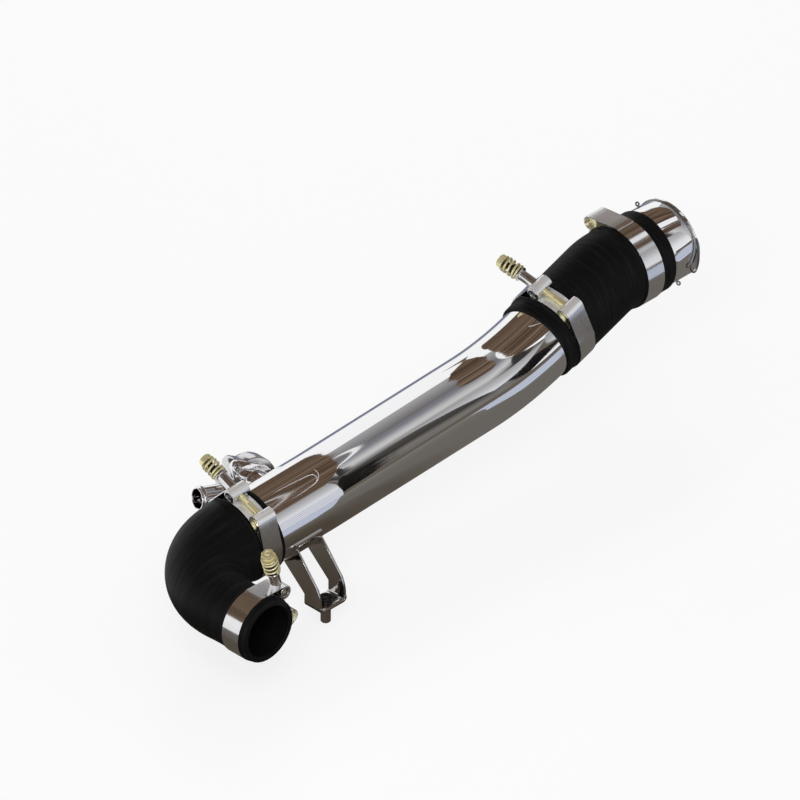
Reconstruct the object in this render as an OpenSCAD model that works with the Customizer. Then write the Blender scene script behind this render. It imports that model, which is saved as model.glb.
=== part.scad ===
/* [Main pipe] */
// Outside diameter of the polished pipe
pipe_od = 76.2; // [70:0.1:80]
// Wall of the pipe
pipe_wall = 2; // [1.5:0.1:3]
// Lower hose rim to the first bend's corner
leg_low = 71; // [60:1:90]
// First bend's corner to the second bend's corner
leg_mid = 251; // [200:1:300]
// Second bend's corner to the upper hose rim
leg_high = 45; // [44:1:70]
// Centreline radius of the first bend
bend_low_r = 200; // [150:5:230]
// Centreline radius of the second bend
bend_high_r = 400; // [300:5:420]
// Height of the rolled bead at each pipe end
bead_height = 1; // [0.6:0.1:1.2]
// Length of pipe inside the elbow hose
grip_low = 32; // [30:0.5:33]
// Length of pipe inside the coupler hose
grip_high = 44; // [42:0.5:50]

/* [Elbow hose] */
// Wall at the pipe end
elbow_wall = 3.3; // [2.8:0.1:5]
// Wall at the outlet
outlet_wall = 5.5; // [4.5:0.1:6.5]
// Bore of the outlet
outlet_bore = 52.6; // [50:0.1:54]
// Centreline radius of the elbow
elbow_r = 62; // [58:0.5:62]
// Pipe rim of the hose to the elbow's corner
elbow_leg = 101.7; // [101:0.1:115]
// Elbow's corner to the outlet rim
outlet_leg = 124.6; // [124:0.1:140]
// Length of the straight bore at the outlet
outlet_cuff = 38; // [36:0.5:40]

/* [Coupler hose] */
// Wall of the coupler hose
coupler_wall = 2.6; // [2.3:0.1:4]
// Upper hose rim to the coupler's corner
coupler_leg = 99; // [95:0.5:120]
// Coupler's corner to the connector rim
connector_leg = 55.2; // [54:0.1:70]
// Centreline radius of the coupler's bend
coupler_r = 60; // [50:1:62]

/* [Clamps] */
// Width of the clamp bands
band_w = 21; // [18:0.5:22]
// Thickness of the band steel
band_t = 0.8; // [0.5:0.1:1]
// Outside radius of the loops in the bands
loop_r = 7; // [7:0.1:8]
// Radius of the T-bolts
bolt_r = 3.175; // [2.8:0.025:3.5]
// Thickness of the bridge strip under the loops
bridge_t = 0.4; // [0.3:0.05:0.6]
// Thickness of the spring wire
spring_wire = 2.2; // [1.8:0.1:2.4]
// Mean radius of the spring
spring_r = 6.9; // [6.8:0.1:7.5]
// Length of the spring as fitted
spring_length = 18; // [14:0.5:20]
// Turns of the spring
spring_turns = 4; // [3:0.5:5]
// Outside radius of the spacer sleeve
sleeve_r = 5.15; // [5:0.05:5.5]
// Length of the sleeve below its flange
sleeve_reach = 22; // [16:0.5:24]
// Nut size across flats
nut_af = 11.1; // [10:0.1:12]
// Height of the nut's hexagon
nut_h = 4.6; // [4:0.1:7]

/* [Quick connector] */
// Height of the collar's outside over its tail
collar_step = 0.7; // [0.6:0.1:1.4]
// Length of the collar outside the hose
collar_length = 31.5; // [30:0.5:34]
// Length of the barbed tail inside the hose
tail_length = 46; // [45:0.5:47]
// Wall of the socket at the mouth
socket_wall = 2.6; // [2.3:0.1:3]
// Wall of the tail
tail_wall = 3.6; // [3.1:0.1:5]
// Thickness of the wire of the clip
clip_wire = 1.8; // [1.4:0.1:2]

/* [Bracket] */
// Sideways distance from the stud to the pipe's lower hose rim
rim_side = 59.4; // [58:0.1:61]
// Distance from the stud back to the lower hose rim
rim_back = 30.7; // [30:0.1:32]
// Height of the lower hose rim above the stud's seat
rim_up = 72.2; // [71:0.1:74]
// Thickness of the bracket plate
plate_t = 2.5; // [2:0.1:3]
// Width of the bracket along the pipe
bracket_w = 33.9; // [30:0.1:36]
// Thickness of the saddle on the pipe
saddle_t = 2.4; // [2:0.1:3]
// Radius of the locating stud
stud_r = 4.85; // [4:0.05:5]
// Length of the stud below the bracket
stud_length = 20; // [16:0.5:24]

/* [Side branch] */
// Outside radius of the branch stub
stub_r = 12; // [11:0.1:13]
// Distance from the pipe's axis to the branch joint face
joint_reach = 72; // [70:0.5:76]
// Outside radius of the branch housing
housing_r = 23.8; // [23:0.1:25]
// Depth of the branch housing
housing_depth = 17; // [15:0.5:20]
// Outside radius of the beaded spigot
spigot_r = 11; // [10:0.1:12]
// Length of the spigot outside the housing's axis
spigot_reach = 56; // [50:0.5:60]

/* [Hidden] */
$fn = 72;

// Gap between pieces that touch on a curve
fit = 0.1;
// Cutters run past the face they cut by this much
past = 1;
// Bends are slimmer than the straights by this much, and lap into them
hair = 0.02;
lap = 0.5;

polished = "gainsboro";
steel = "silver";
zinc = "palegoldenrod";
silicone = [0.12, 0.12, 0.13];

function unit(v) = v / norm(v);
function heading(yaw, pitch) = [sin(yaw) * cos(pitch), cos(yaw) * cos(pitch), sin(pitch)];
function turn(a, b) = acos(a * b);
function set_back(a, b, r) = r * tan(turn(a, b) / 2);
function polar(r, a) = [r * cos(a), r * sin(a)];
function arc(c, r, a, b, n) = [for (i = [0 : n]) c + polar(r, a + (b - a) * i / n)];
function reversed(v) = [for (i = [len(v) - 1 : -1 : 0]) v[i]];
function mirrored(v) = [for (p = v) [-p.x, p.y]];

// The frame's origin is the seat of the locating stud, +Z is up and the pipe runs along +Y
lower_dir = heading(4.6, 5.7);
middle_dir = heading(-0.4, 2.1);
upper_dir = heading(-4.1, 14.7);
connector_dir = [0, 1, 0];
outlet_dir = [1, 0, 0];

pipe_r = pipe_od / 2;
hose_bore = pipe_r + fit;
elbow_outer = hose_bore + elbow_wall;
outlet_outer = outlet_bore / 2 + outlet_wall;
coupler_outer = hose_bore + coupler_wall;
rim_low = [-rim_side, -rim_back, rim_up];
corner_low = rim_low + lower_dir * leg_low;
corner_high = corner_low + middle_dir * leg_mid;
rim_high = corner_high + upper_dir * leg_high;
coupler_corner = rim_high + upper_dir * coupler_leg;
rim_connector = coupler_corner + connector_dir * connector_leg;
elbow_corner = rim_low - lower_dir * elbow_leg;
rim_outlet = elbow_corner + outlet_dir * outlet_leg;

// Puts z along the given direction and x as near as it can to the second one
module aim(at, z_dir, x_dir) {
    z = unit(z_dir);
    y = unit(cross(z, x_dir));
    x = cross(y, z);
    multmatrix([[x.x, y.x, z.x, at.x], [x.y, y.y, z.y, at.y], [x.z, y.z, z.z, at.z]]) children();
}

// A straight round bar from one point to another
module bar(a, b, r) {
    aim(a, b - a, [1, 0.01, 0.3]) cylinder(h = norm(b - a), r = r);
}

// The bend of a round bar at a corner, a hair slimmer than its straights and lapped into them
module bend(corner, d_in, d_out, bend_r, r) {
    toward = unit(d_out - (d_in * d_out) * d_in);
    centre = corner - d_in * set_back(d_in, d_out, bend_r) + toward * bend_r;
    lap_angle = atan(lap / bend_r);
    aim(centre, cross(d_in, d_out), -toward) rotate([0, 0, -lap_angle])
        rotate_extrude(angle = turn(d_in, d_out) + 2 * lap_angle)
            translate([bend_r, 0]) circle(r - hair);
}

function box2(x0, x1, y0, y1) = [[x0, y0], [x1, y0], [x1, y1], [x0, y1]];

// Main pipe
pipe_low_end = rim_low - lower_dir * grip_low;
pipe_high_end = rim_high + upper_dir * grip_high;
bead_inset = 5;
bead_r = 2.4;

module pipe_solid(r, extra) {
    low_stop = corner_low - lower_dir * set_back(lower_dir, middle_dir, bend_low_r);
    low_start = corner_low + middle_dir * set_back(lower_dir, middle_dir, bend_low_r);
    high_stop = corner_high - middle_dir * set_back(middle_dir, upper_dir, bend_high_r);
    high_start = corner_high + upper_dir * set_back(middle_dir, upper_dir, bend_high_r);
    bar(pipe_low_end - lower_dir * extra, low_stop, r);
    bend(corner_low, lower_dir, middle_dir, bend_low_r, r);
    bar(low_start, high_stop, r);
    bend(corner_high, middle_dir, upper_dir, bend_high_r, r);
    bar(high_start, pipe_high_end + upper_dir * extra, r);
}

module bead(at, along) {
    aim(at, along, [1, 0, 0.2])
        rotate_extrude() translate([pipe_r + bead_height - bead_r, 0]) circle(bead_r);
}

module main_pipe() {
    color(polished) difference() {
        union() {
            pipe_solid(pipe_r, 0);
            bead(pipe_low_end + lower_dir * bead_inset, lower_dir);
            bead(pipe_high_end - upper_dir * bead_inset, upper_dir);
        }
        pipe_solid(pipe_r - pipe_wall, past);
        bar(branch_root, branch_root + branch_dir * (pipe_r + past), stub_r - stub_wall);
    }
}

// Hose cuff: z runs from the rim into the hose, and the groove clears the pipe's bead
cuff_edge = 1;
groove_w = 6;

module cuff(length, outer, bore, groove_at) {
    difference() {
        rotate_extrude() polygon([[bore + cuff_edge / 2, 0], [outer - cuff_edge, 0], [outer, cuff_edge],
            [outer, length], [bore, length], [bore, cuff_edge / 2]]);
        if (groove_at > 0)
            translate([0, 0, groove_at - groove_w / 2])
                cylinder(h = groove_w, r = pipe_r + bead_height + fit);
    }
}

// Elbow hose: straight cuff, then a bend that tapers to the outlet's straight cuff
elbow_back = -lower_dir;
elbow_set_back = set_back(elbow_back, outlet_dir, elbow_r);
elbow_bend_start = elbow_leg - elbow_set_back;
elbow_bend_length = elbow_r * turn(elbow_back, outlet_dir) * PI / 180;
elbow_end = elbow_bend_start + elbow_bend_length + outlet_leg - elbow_set_back - outlet_cuff;
elbow_toward = unit(outlet_dir - (elbow_back * outlet_dir) * elbow_back);
elbow_cuff = grip_low + 1;

function elbow_angle(s) = (s - elbow_bend_start) / elbow_r * 180 / PI;
function elbow_point(s) =
    s <= elbow_bend_start ? rim_low + elbow_back * s
    : s <= elbow_bend_start + elbow_bend_length
    ? rim_low + elbow_back * (elbow_bend_start + elbow_r * sin(elbow_angle(s)))
        + elbow_toward * elbow_r * (1 - cos(elbow_angle(s)))
    : rim_outlet - outlet_dir * (elbow_end + outlet_cuff - s);
function elbow_heading(s) =
    s <= elbow_bend_start ? elbow_back
    : s <= elbow_bend_start + elbow_bend_length
    ? elbow_back * cos(elbow_angle(s)) + elbow_toward * sin(elbow_angle(s))
    : outlet_dir;
function smooth(t) = t <= 0 ? 0 : t >= 1 ? 1 : t * t * (3 - 2 * t);
function taper(s, a, b) = a + (b - a) * smooth((s - elbow_cuff) / (elbow_end - elbow_cuff));

hose_sides = 40;
elbow_rings = 16;
elbow_side_dir = cross(elbow_back, outlet_dir);

function ring(p, d, side, r, n) =
    let (a = unit(side - (side * d) * d), b = cross(d, a))
    [for (i = [0 : n - 1]) p + r * (cos(360 * i / n) * a + sin(360 * i / n) * b)];

function flat_list(v) = [for (row = v) for (p = row) p];

// Skin faces between stacked rings, from ring first to ring last
function skin(first, last, n) = [for (k = [first : last - 1]) for (i = [0 : n - 1])
    [k * n + i, (k + 1) * n + i, (k + 1) * n + (i + 1) % n, k * n + (i + 1) % n]];
function turned(faces) = [for (f = faces) [f[3], f[2], f[1], f[0]]];
function rim_faces(a, b, n) = [for (i = [0 : n - 1])
    [a * n + i, a * n + (i + 1) % n, b * n + (i + 1) % n, b * n + i]];

// A tube wall through rings of the outer surface, then rings of the bore
module tube_wall(outer, inner, n) {
    last = len(outer) - 1;
    polyhedron(flat_list(concat(outer, inner)),
        concat(skin(0, last, n), turned(skin(last + 1, 2 * last + 1, n)),
            rim_faces(0, last + 1, n), turned(rim_faces(last, 2 * last + 1, n))),
        convexity = 6);
}

// The moulded part laps into both cuffs and is thinner than they are by this much on each side
elbow_lap = 2;
elbow_thin = 0.3;

module elbow_hose() {
    start = elbow_cuff - elbow_lap;
    length = elbow_end + elbow_lap - start;
    places = [for (i = [0 : elbow_rings]) start + length * i / elbow_rings];
    outer = [for (s = places) ring(elbow_point(s), elbow_heading(s), elbow_side_dir,
        taper(s, elbow_outer, outlet_outer) - elbow_thin, hose_sides)];
    inner = [for (s = places) ring(elbow_point(s), elbow_heading(s), elbow_side_dir,
        taper(s, hose_bore, outlet_bore / 2) + elbow_thin, hose_sides)];
    color(silicone) union() {
        aim(rim_low, elbow_back, outlet_dir)
            cuff(elbow_cuff, elbow_outer, hose_bore, grip_low - bead_inset);
        tube_wall(outer, inner, hose_sides);
        aim(rim_outlet, -outlet_dir, [0, 0, 1]) cuff(outlet_cuff, outlet_outer, outlet_bore / 2, 0);
    }
}

// Coupler hose: one bend between two cuffs
coupler_set_back = set_back(upper_dir, connector_dir, coupler_r);

module coupler_solid(r, extra) {
    bar(rim_high - upper_dir * extra, coupler_corner - upper_dir * coupler_set_back, r);
    bend(coupler_corner, upper_dir, connector_dir, coupler_r, r);
    bar(coupler_corner + connector_dir * coupler_set_back, rim_connector + connector_dir * extra, r);
}

module bead_groove(at, along) {
    aim(at, along, [1, 0, 0.2]) cylinder(h = groove_w, r = pipe_r + bead_height + fit, center = true);
}

module coupler_hose() {
    color(silicone) difference() {
        coupler_solid(coupler_outer, 0);
        coupler_solid(hose_bore, past);
        bead_groove(pipe_high_end - upper_dir * bead_inset, upper_dir);
        bead_groove(rim_connector - connector_dir * (tail_length - bead_inset), connector_dir);
    }
}

// Clamps: how far each band's middle is from the hose's rim
lower_band_at = 16;
outlet_band_at = 18;
upper_band_at = 25;
connector_band_at = 27.5;

// Each clamp is [centre of the band, axis, direction its nut points in, hose radius].
// In a clamp's own frame z is the band's axis, y points at the bolt and x at the nut.
lower_clamp = [rim_low + elbow_back * lower_band_at, lower_dir, [-0.95, 0.047, 0.3], elbow_outer];
outlet_clamp = [rim_outlet - outlet_dir * outlet_band_at, -outlet_dir, [0, -0.28, 0.96], outlet_outer];
upper_clamp = [rim_high + upper_dir * upper_band_at, upper_dir, [-0.95, -0.15, 0.25], coupler_outer];
connector_clamp = [rim_connector - connector_dir * connector_band_at, connector_dir,
    [-0.326, 0, -0.946], coupler_outer];

clamp_lift = bridge_t + fit;
clamp_arc_step = 4;
bolt_gap = 0.15;
slot_gap = 0.5;
bridge_lap = 18;
bridge_inset = 1;
pad_gap = 0.06;
pad_angle = 8;

function band_in(c) = c[3] + clamp_lift;
function band_out(c) = band_in(c) + band_t;
function bolt_y(c) = band_in(c) + bolt_r + bolt_gap;
function loop_reach(c) = band_in(c) + loop_r;
function loop_x(c) = sqrt(pow(loop_reach(c), 2) - pow(bolt_y(c), 2));
function loop_at(c) = [loop_x(c), bolt_y(c)];
function loop_angle(c) = atan2(bolt_y(c), loop_x(c));
// Outside of the pad that is welded to the band, and the direction square to the leaf above it
function pad_out(c) = band_out(c) + pad_gap + band_t;
function leaf_angle(c) = loop_angle(c) - acos((pad_out(c) - loop_r) / loop_reach(c));

module in_clamp(c) {
    aim(c[0], c[1], c[2]) children();
}

// Half of one face of the bent strip: band, loop, flat leaf and the pad welded to the band
function strip_half(c, band_side, loop_side, pad_side) =
    let (up = loop_angle(c), out = leaf_angle(c))
    concat(arc([0, 0], band_side, -90, up, round((up + 90) / clamp_arc_step)),
        arc(loop_at(c), loop_side, 180 + up - 4, out, 18),
        arc([0, 0], pad_side, out, out - pad_angle, 2));

function strip_face(c, band_side, loop_side, pad_side) =
    let (half = strip_half(c, band_side, loop_side, pad_side))
    concat(reversed(mirrored(half)), [for (i = [1 : len(half) - 1]) half[i]]);

module clamp_band(c) {
    slot_w = 2 * (bolt_r + slot_gap);
    outside = strip_face(c, band_in(c), loop_r, pad_out(c));
    inside = strip_face(c, band_out(c), loop_r - band_t, pad_out(c) - band_t);
    color(steel) in_clamp(c) difference() {
        translate([0, 0, -band_w / 2]) linear_extrude(band_w) polygon(concat(outside, reversed(inside)));
        translate([0, bolt_y(c) - slot_w / 2, -slot_w / 2])
            cube([loop_x(c) + 2 * loop_r, slot_w, slot_w]);
        translate([-loop_x(c), bolt_y(c) - slot_w / 2, -slot_w / 2])
            cube([loop_x(c), slot_w, slot_w]);
    }
}

module clamp_bridge(c) {
    spread = 2 * (90 - loop_angle(c) + bridge_lap);
    side = band_w / 2 - bridge_inset;
    color(steel) in_clamp(c) rotate([0, 0, 90 - spread / 2])
        rotate_extrude(angle = spread)
            polygon(box2(c[3] + fit / 2, c[3] + fit / 2 + bridge_t, -side, side));
}

trunnion_r = loop_r - band_t - fit;
trunnion_bore = 3.9;

module clamp_trunnion(c) {
    color(steel) in_clamp(c) translate([loop_x(c), bolt_y(c), 0]) difference() {
        cylinder(h = band_w, r = trunnion_r, center = true);
        cylinder(h = band_w + 2 * past, r = trunnion_bore, center = true);
        rotate([0, 90, 0]) cylinder(h = 4 * loop_r, r = bolt_r + fit, center = true);
    }
}

// Places along the bolt, measured from the trunnion's middle
flange_t = 1.5;
flange_lip = 0.4;
flange_r = spring_r + flange_lip;
spring_from = sleeve_reach + flange_t + fit;
nut_from = spring_from + spring_length + fit;
bolt_past_nut = 0.6;
bolt_end = nut_from + flange_t + nut_h + bolt_past_nut;
sleeve_tail = 9;
head_length = 14;

// Children's z runs along the bolt toward the nut, from the trunnion's middle
module along_bolt(c) {
    in_clamp(c) translate([loop_x(c), bolt_y(c), 0]) rotate([0, 90, 0]) children();
}

module clamp_t_bolt(c) {
    span = 2 * loop_x(c);
    color(zinc) along_bolt(c) union() {
        translate([0, 0, -span]) cylinder(h = span + bolt_end, r = bolt_r);
        translate([0, 0, -span]) rotate([0, 90, 0])
            cylinder(h = head_length, r = trunnion_r, center = true);
    }
}

// The sleeve's end is cut on the slant, so that it stands flat on the band's leaf
module clamp_sleeve(c) {
    slant = loop_r + fit;
    color(steel) along_bolt(c) difference() {
        union() {
            cylinder(h = spring_from + sleeve_tail, r = sleeve_r);
            translate([0, 0, sleeve_reach]) cylinder(h = flange_t, r = flange_r);
        }
        rotate([-leaf_angle(c), 0, 0]) translate([-2 * sleeve_r, -2 * sleeve_r, slant - 4 * sleeve_r])
            cube(4 * sleeve_r);
        cylinder(h = spring_from + sleeve_tail + past, r = bolt_r + fit);
    }
}

wire_sides = 8;
coil_steps = 12;

module clamp_spring(c) {
    rise = spring_length - spring_wire;
    steps = round(spring_turns * coil_steps);
    slope = rise / (spring_turns * 2 * PI * spring_r);
    places = [for (i = [0 : steps]) let (a = 360 * i / coil_steps)
        ring([spring_r * cos(a), spring_r * sin(a), spring_from + spring_wire / 2 + rise * i / steps],
            unit([-sin(a), cos(a), slope]), [0, 0, 1], spring_wire / 2, wire_sides)];
    color(zinc) along_bolt(c) wire(places, wire_sides);
}

// A solid wire through a list of rings
module wire(places, n) {
    last = len(places) - 1;
    polyhedron(flat_list(places),
        concat(skin(0, last, n), [[for (i = [0 : n - 1]) i]],
            [[for (i = [n - 1 : -1 : 0]) last * n + i]]),
        convexity = 10);
}

module clamp_nut(c) {
    color(zinc) along_bolt(c) translate([0, 0, nut_from]) difference() {
        union() {
            cylinder(h = flange_t, r = flange_r);
            cylinder(h = flange_t + nut_h, r = nut_af / 2 / cos(30), $fn = 6);
        }
        translate([0, 0, -past]) cylinder(h = flange_t + nut_h + 2 * past, r = bolt_r + fit / 2);
    }
}

// Quick connector: z runs from the hose rim toward the mouth
collar_r = pipe_r + collar_step;
socket_r = collar_r - socket_wall;
clip_inset = 3.5;
clip_at = collar_length - clip_inset;
clip_r = clip_wire / 2;
seal_at = 9;
seal_w = 5;
seal_depth = 1.2;
socket_from = 5;

module in_connector() {
    aim(rim_connector, connector_dir, [0, 0, 1]) children();
}

module connector_collar() {
    mouth = 1.2;
    groove_r = collar_r - clip_r;
    groove_half = clip_r + fit;
    tail_r = pipe_r - tail_wall;
    color(polished) in_connector() union() {
        rotate_extrude() polygon([[tail_r, -tail_length], [pipe_r, -tail_length], [pipe_r, fit],
            [collar_r, fit], [collar_r, clip_at - groove_half], [groove_r, clip_at - groove_half],
            [groove_r, clip_at + groove_half], [collar_r, clip_at + groove_half],
            [collar_r, collar_length - mouth], [collar_r - mouth, collar_length],
            [socket_r + mouth, collar_length], [socket_r, collar_length - mouth],
            [socket_r, seal_at + seal_w], [socket_r + seal_depth, seal_at + seal_w],
            [socket_r + seal_depth, seal_at], [socket_r, seal_at], [socket_r, socket_from],
            [tail_r, socket_from]]);
        translate([0, 0, bead_inset - tail_length])
            rotate_extrude() translate([pipe_r + bead_height - bead_r, 0]) circle(bead_r);
    }
}

module connector_seal() {
    lip = 0.8;
    seal_out = socket_r + seal_depth - fit / 2;
    color("dimgray") in_connector() translate([0, 0, seal_at + fit])
        rotate_extrude() polygon([[seal_out, 0], [seal_out, seal_w - 2 * fit],
            [socket_r, seal_w - 2 * fit], [socket_r - lip, seal_w * 0.7 - fit],
            [socket_r - lip, seal_w * 0.3 - fit], [socket_r, 0]]);
}

// Wire clip: points are [angle round the collar, place along it, radius from its axis].
// It lies in the groove, then leaves it as a flat handle and comes back to the groove.
clip_low = collar_r + fit;
clip_high = collar_r + clip_r + fit;
clip_start = -125;
clip_leave = 58;
clip_steps = 26;
clip_arc = [for (i = [0 : clip_steps])
    [clip_start + (clip_leave - clip_start) * i / clip_steps, clip_at, clip_low]];
clip_handle = [for (p = [[66, -0.2, 0], [80, -3.5, 0], [96, -9, 0.8], [104, -9.8, 2], [110, -7, 3],
    [112, -3, 3.2], [104, -0.4, 1.8], [90, 1, 0.6], [76, 2.4, 0], [66, 2.2, 0]])
    [p[0], clip_at + p[1], clip_high + p[2]]];

// A smooth curve through points, with steps of it between each two
function curve(v, steps) = [for (k = [0 : len(v) - 2]) for (i = [0 : steps - 1])
    let (t = i / steps, a = v[max(k - 1, 0)], b = v[k], c = v[k + 1], d = v[min(k + 2, len(v) - 1)])
    0.5 * (2 * b + (c - a) * t + (2 * a - 5 * b + 4 * c - d) * t * t
        + (3 * b - a - 3 * c + d) * t * t * t)];
clip_path = concat([for (i = [0 : clip_steps - 1]) clip_arc[i]],
    curve(concat([clip_arc[clip_steps]], clip_handle), 3));

function on_collar(p) = [p[2] * cos(p[0]), p[2] * sin(p[0]), p[1]];
function wire_heading(v, i) = unit(v[min(i + 1, len(v) - 1)] - v[max(i - 1, 0)]);

module wire_clip() {
    route = [for (p = clip_path) on_collar(p)];
    color(steel) in_connector() wire([for (i = [0 : len(route) - 1])
        ring(route[i], wire_heading(route, i), [route[i].x, route[i].y, 0],
            clip_r, wire_sides)], wire_sides);
}

eye_angles = [-41, 130];
eye_places = [16, 11];
eye_wire = 0.8;
eye_r = 1.7;

// Two small wire eyes that stand on the collar
module clip_eyes() {
    color(steel) in_connector() for (k = [0, 1])
        rotate([0, 0, eye_angles[k]]) translate([collar_r + eye_r + eye_wire + fit / 2, 0, eye_places[k]])
            rotate([90, 0, 0]) rotate_extrude() translate([eye_r, 0]) circle(eye_wire);
}

// Bracket: a bent channel whose two arms stand on a saddle on the pipe
saddle_from = -22;
saddle_to = 30;
arm_slope = 45;
bend_out = 4.5;
plate_left = 11.2;
plate_right = 10.8;
arm_top = 62;
// Side view of the arms: from the plate's front edge round the nose, up to the pipe and back down
nose = concat([[plate_right, 6]], arc([-26, 8], 36, -3, 32, 8));
arm_back = [[-21.9, 59], [-40.2, 39.6], [-plate_left, 13.8]];
stud_step = 0.4;
stud_neck_r = stud_r + stud_step;
// The point of the pipe's axis beside the stud
saddle_mid = rim_low + lower_dir * (rim_back / lower_dir.y);

module saddle() {
    color(steel) aim(saddle_mid - lower_dir * bracket_w / 2, lower_dir, [1, 0, 0])
        rotate([0, 0, arm_slope - saddle_to]) rotate_extrude(angle = saddle_to - saddle_from)
            polygon(box2(pipe_r + fit / 2, pipe_r + fit / 2 + saddle_t, 0, bracket_w));
}

// Channel across the pipe's length: y along the pipe, z up, rounded at its two lower corners
function channel(half, low, r, top) = concat(
    [[-half, top]], arc([-half + r, low + r], r, 180, 270, 6),
    arc([half - r, low + r], r, 270, 360, 6), [[half, top]]);

module bracket() {
    half = bracket_w / 2;
    color(steel) difference() {
        intersection() {
            translate([-60, 0, 0]) rotate([90, 0, 90]) linear_extrude(90) polygon(concat(
                channel(half, 0, bend_out, arm_top),
                reversed(channel(half - plate_t, plate_t, bend_out - plate_t, arm_top))));
            translate([0, bracket_w, 0]) rotate([90, 0, 0]) linear_extrude(2 * bracket_w)
                polygon(concat([[-plate_left, 0], [plate_right, 0]], nose, arm_back));
        }
        aim(saddle_mid - lower_dir * bracket_w, lower_dir, [1, 0, 0])
            cylinder(h = 2 * bracket_w, r = pipe_r + saddle_t + fit);
        translate([0, 0, -past]) cylinder(h = plate_t + 2 * past, r = stud_neck_r + fit);
    }
}

module locating_stud() {
    head_r = 6.75;
    head_h = 5.7;
    tip = 1;
    head_at = plate_t + fit / 2;
    color(steel) rotate_extrude() polygon([[0, -stud_length], [stud_r - tip, -stud_length],
        [stud_r, tip - stud_length], [stud_r, fit], [stud_neck_r, fit],
        [stud_neck_r, head_at], [head_r, head_at], [head_r, head_at + head_h - tip],
        [head_r - tip, head_at + head_h], [0, head_at + head_h]]);
}

// Side branch: z runs outward from the pipe's axis, and the spigot leaves square to it
branch_along = 44.3;
branch_dir = unit([-0.94, 0.24, -0.22]);
branch_root = rim_low + lower_dir * branch_along;
spigot_dir = unit([-0.24, -0.95, 0.175]);
stub_wall = 1.8;
stub_bore = stub_r - stub_wall;
joint_t = 5;
joint_r = 18.3;
housing_floor = 4.5;
housing_wall = 2.4;
cover_t = 3;
cover_plug = 3;
cover_edge = 0.6;
screw_r = 2;
screw_grip = 9;
ear_r = 6;
ear_angles = [41, 221];
ear_reach = 29;
web_share = 0.75;
o_ring_r = 1.3;
o_ring_at = 14.5;

module in_branch() {
    aim(branch_root, branch_dir, spigot_dir) children();
}

// Two ears, each with a web that joins it to the round flange
module ears(h, r) {
    for (a = ear_angles) rotate([0, 0, a]) {
        translate([ear_reach, 0, 0]) cylinder(h = h, r = r);
        translate([stub_r, -web_share * r, 0]) cube([ear_reach - stub_r, 2 * web_share * r, h]);
    }
}

module ear_holes(r, from, h) {
    for (a = ear_angles) rotate([0, 0, a]) translate([ear_reach, 0, from]) cylinder(h = h, r = r);
}

module branch_stub() {
    color(polished) difference() {
        in_branch() difference() {
            union() {
                cylinder(h = joint_reach, r = stub_r);
                translate([0, 0, joint_reach - joint_t]) cylinder(h = joint_t, r = joint_r);
                translate([0, 0, joint_reach - joint_t]) ears(joint_t, ear_r);
            }
            cylinder(h = joint_reach + past, r = stub_bore);
            ear_holes(screw_r + fit, joint_reach - joint_t - past, joint_t + 2 * past);
        }
        bar(rim_low, rim_low + lower_dir * 2 * branch_along, pipe_r + fit / 2);
    }
}

// The ring lies in a groove in the housing's joint face
joint_face = joint_reach + fit / 2;
groove_depth = 2 * o_ring_r + fit;

module branch_o_ring() {
    color("dimgray") in_branch() translate([0, 0, joint_face + o_ring_r])
        rotate_extrude() translate([o_ring_at, 0]) circle(o_ring_r);
}

// The spigot's boss is narrow inside the housing's depth and wide outside the cover's edge
housing_mid = joint_face + housing_depth / 2;
housing_end = joint_face + housing_depth;
spigot_drop = 11.5;
spigot_wall = 1.6;
boss_neck_r = 8;
boss_bore = 6;
boss_wall = 2.4;
boss_depth = 7;
seat_depth = 5;
boss_gap = 0.3;
boss_from = housing_r + boss_gap;
boss_to = boss_from + boss_depth;

module in_spigot() {
    in_branch() translate([0, -spigot_drop, housing_mid]) rotate([0, 90, 0]) children();
}

module branch_housing() {
    groove_half = o_ring_r + fit;
    color(steel) difference() {
        union() {
            in_branch() translate([0, 0, joint_face]) cylinder(h = housing_depth, r = housing_r);
            in_branch() translate([0, 0, joint_face]) ears(joint_t + screw_grip, ear_r);
            in_spigot() cylinder(h = boss_from + 1, r = boss_neck_r);
            in_spigot() translate([0, 0, boss_from]) cylinder(h = boss_depth, r = spigot_r + boss_wall);
        }
        in_branch() translate([0, 0, joint_face + housing_floor])
            cylinder(h = housing_depth, r = housing_r - housing_wall);
        in_branch() translate([0, 0, joint_face - past]) cylinder(h = housing_floor + 2 * past, r = stub_bore);
        in_branch() translate([0, 0, joint_face]) rotate_extrude()
            polygon(box2(o_ring_at - groove_half, o_ring_at + groove_half, -past, groove_depth));
        in_branch() ear_holes(screw_r + fit / 2, joint_face - past, screw_grip + 1 + past);
        in_spigot() cylinder(h = boss_to + past, r = boss_bore);
        in_spigot() translate([0, 0, boss_to - seat_depth]) cylinder(h = seat_depth + past, r = spigot_r + fit);
    }
}

// The cover's plug is pressed into the open end of the housing
module branch_cover() {
    plug_r = housing_r - housing_wall - fit / 2;
    color(polished) in_branch() difference() {
        union() {
            translate([0, 0, housing_end + fit / 2]) cylinder(h = cover_t, r = housing_r - cover_edge);
            translate([0, 0, housing_end - cover_plug]) cylinder(h = cover_plug + fit, r = plug_r);
        }
        translate([0, 0, housing_end - cover_plug - past])
            cylinder(h = cover_plug + past, r = plug_r - housing_wall);
    }
}

module branch_spigot() {
    seat = boss_to - seat_depth + fit / 2;
    rim_inset = 4;
    rim_r = 2;
    rim_sunk = 0.7;
    color(polished) in_spigot() difference() {
        union() {
            translate([0, 0, seat]) cylinder(h = spigot_reach - seat, r = spigot_r);
            translate([0, 0, spigot_reach - rim_inset])
                rotate_extrude() translate([spigot_r - rim_sunk, 0]) circle(rim_r);
        }
        translate([0, 0, seat - past]) cylinder(h = spigot_reach, r = spigot_r - spigot_wall);
    }
}

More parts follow.
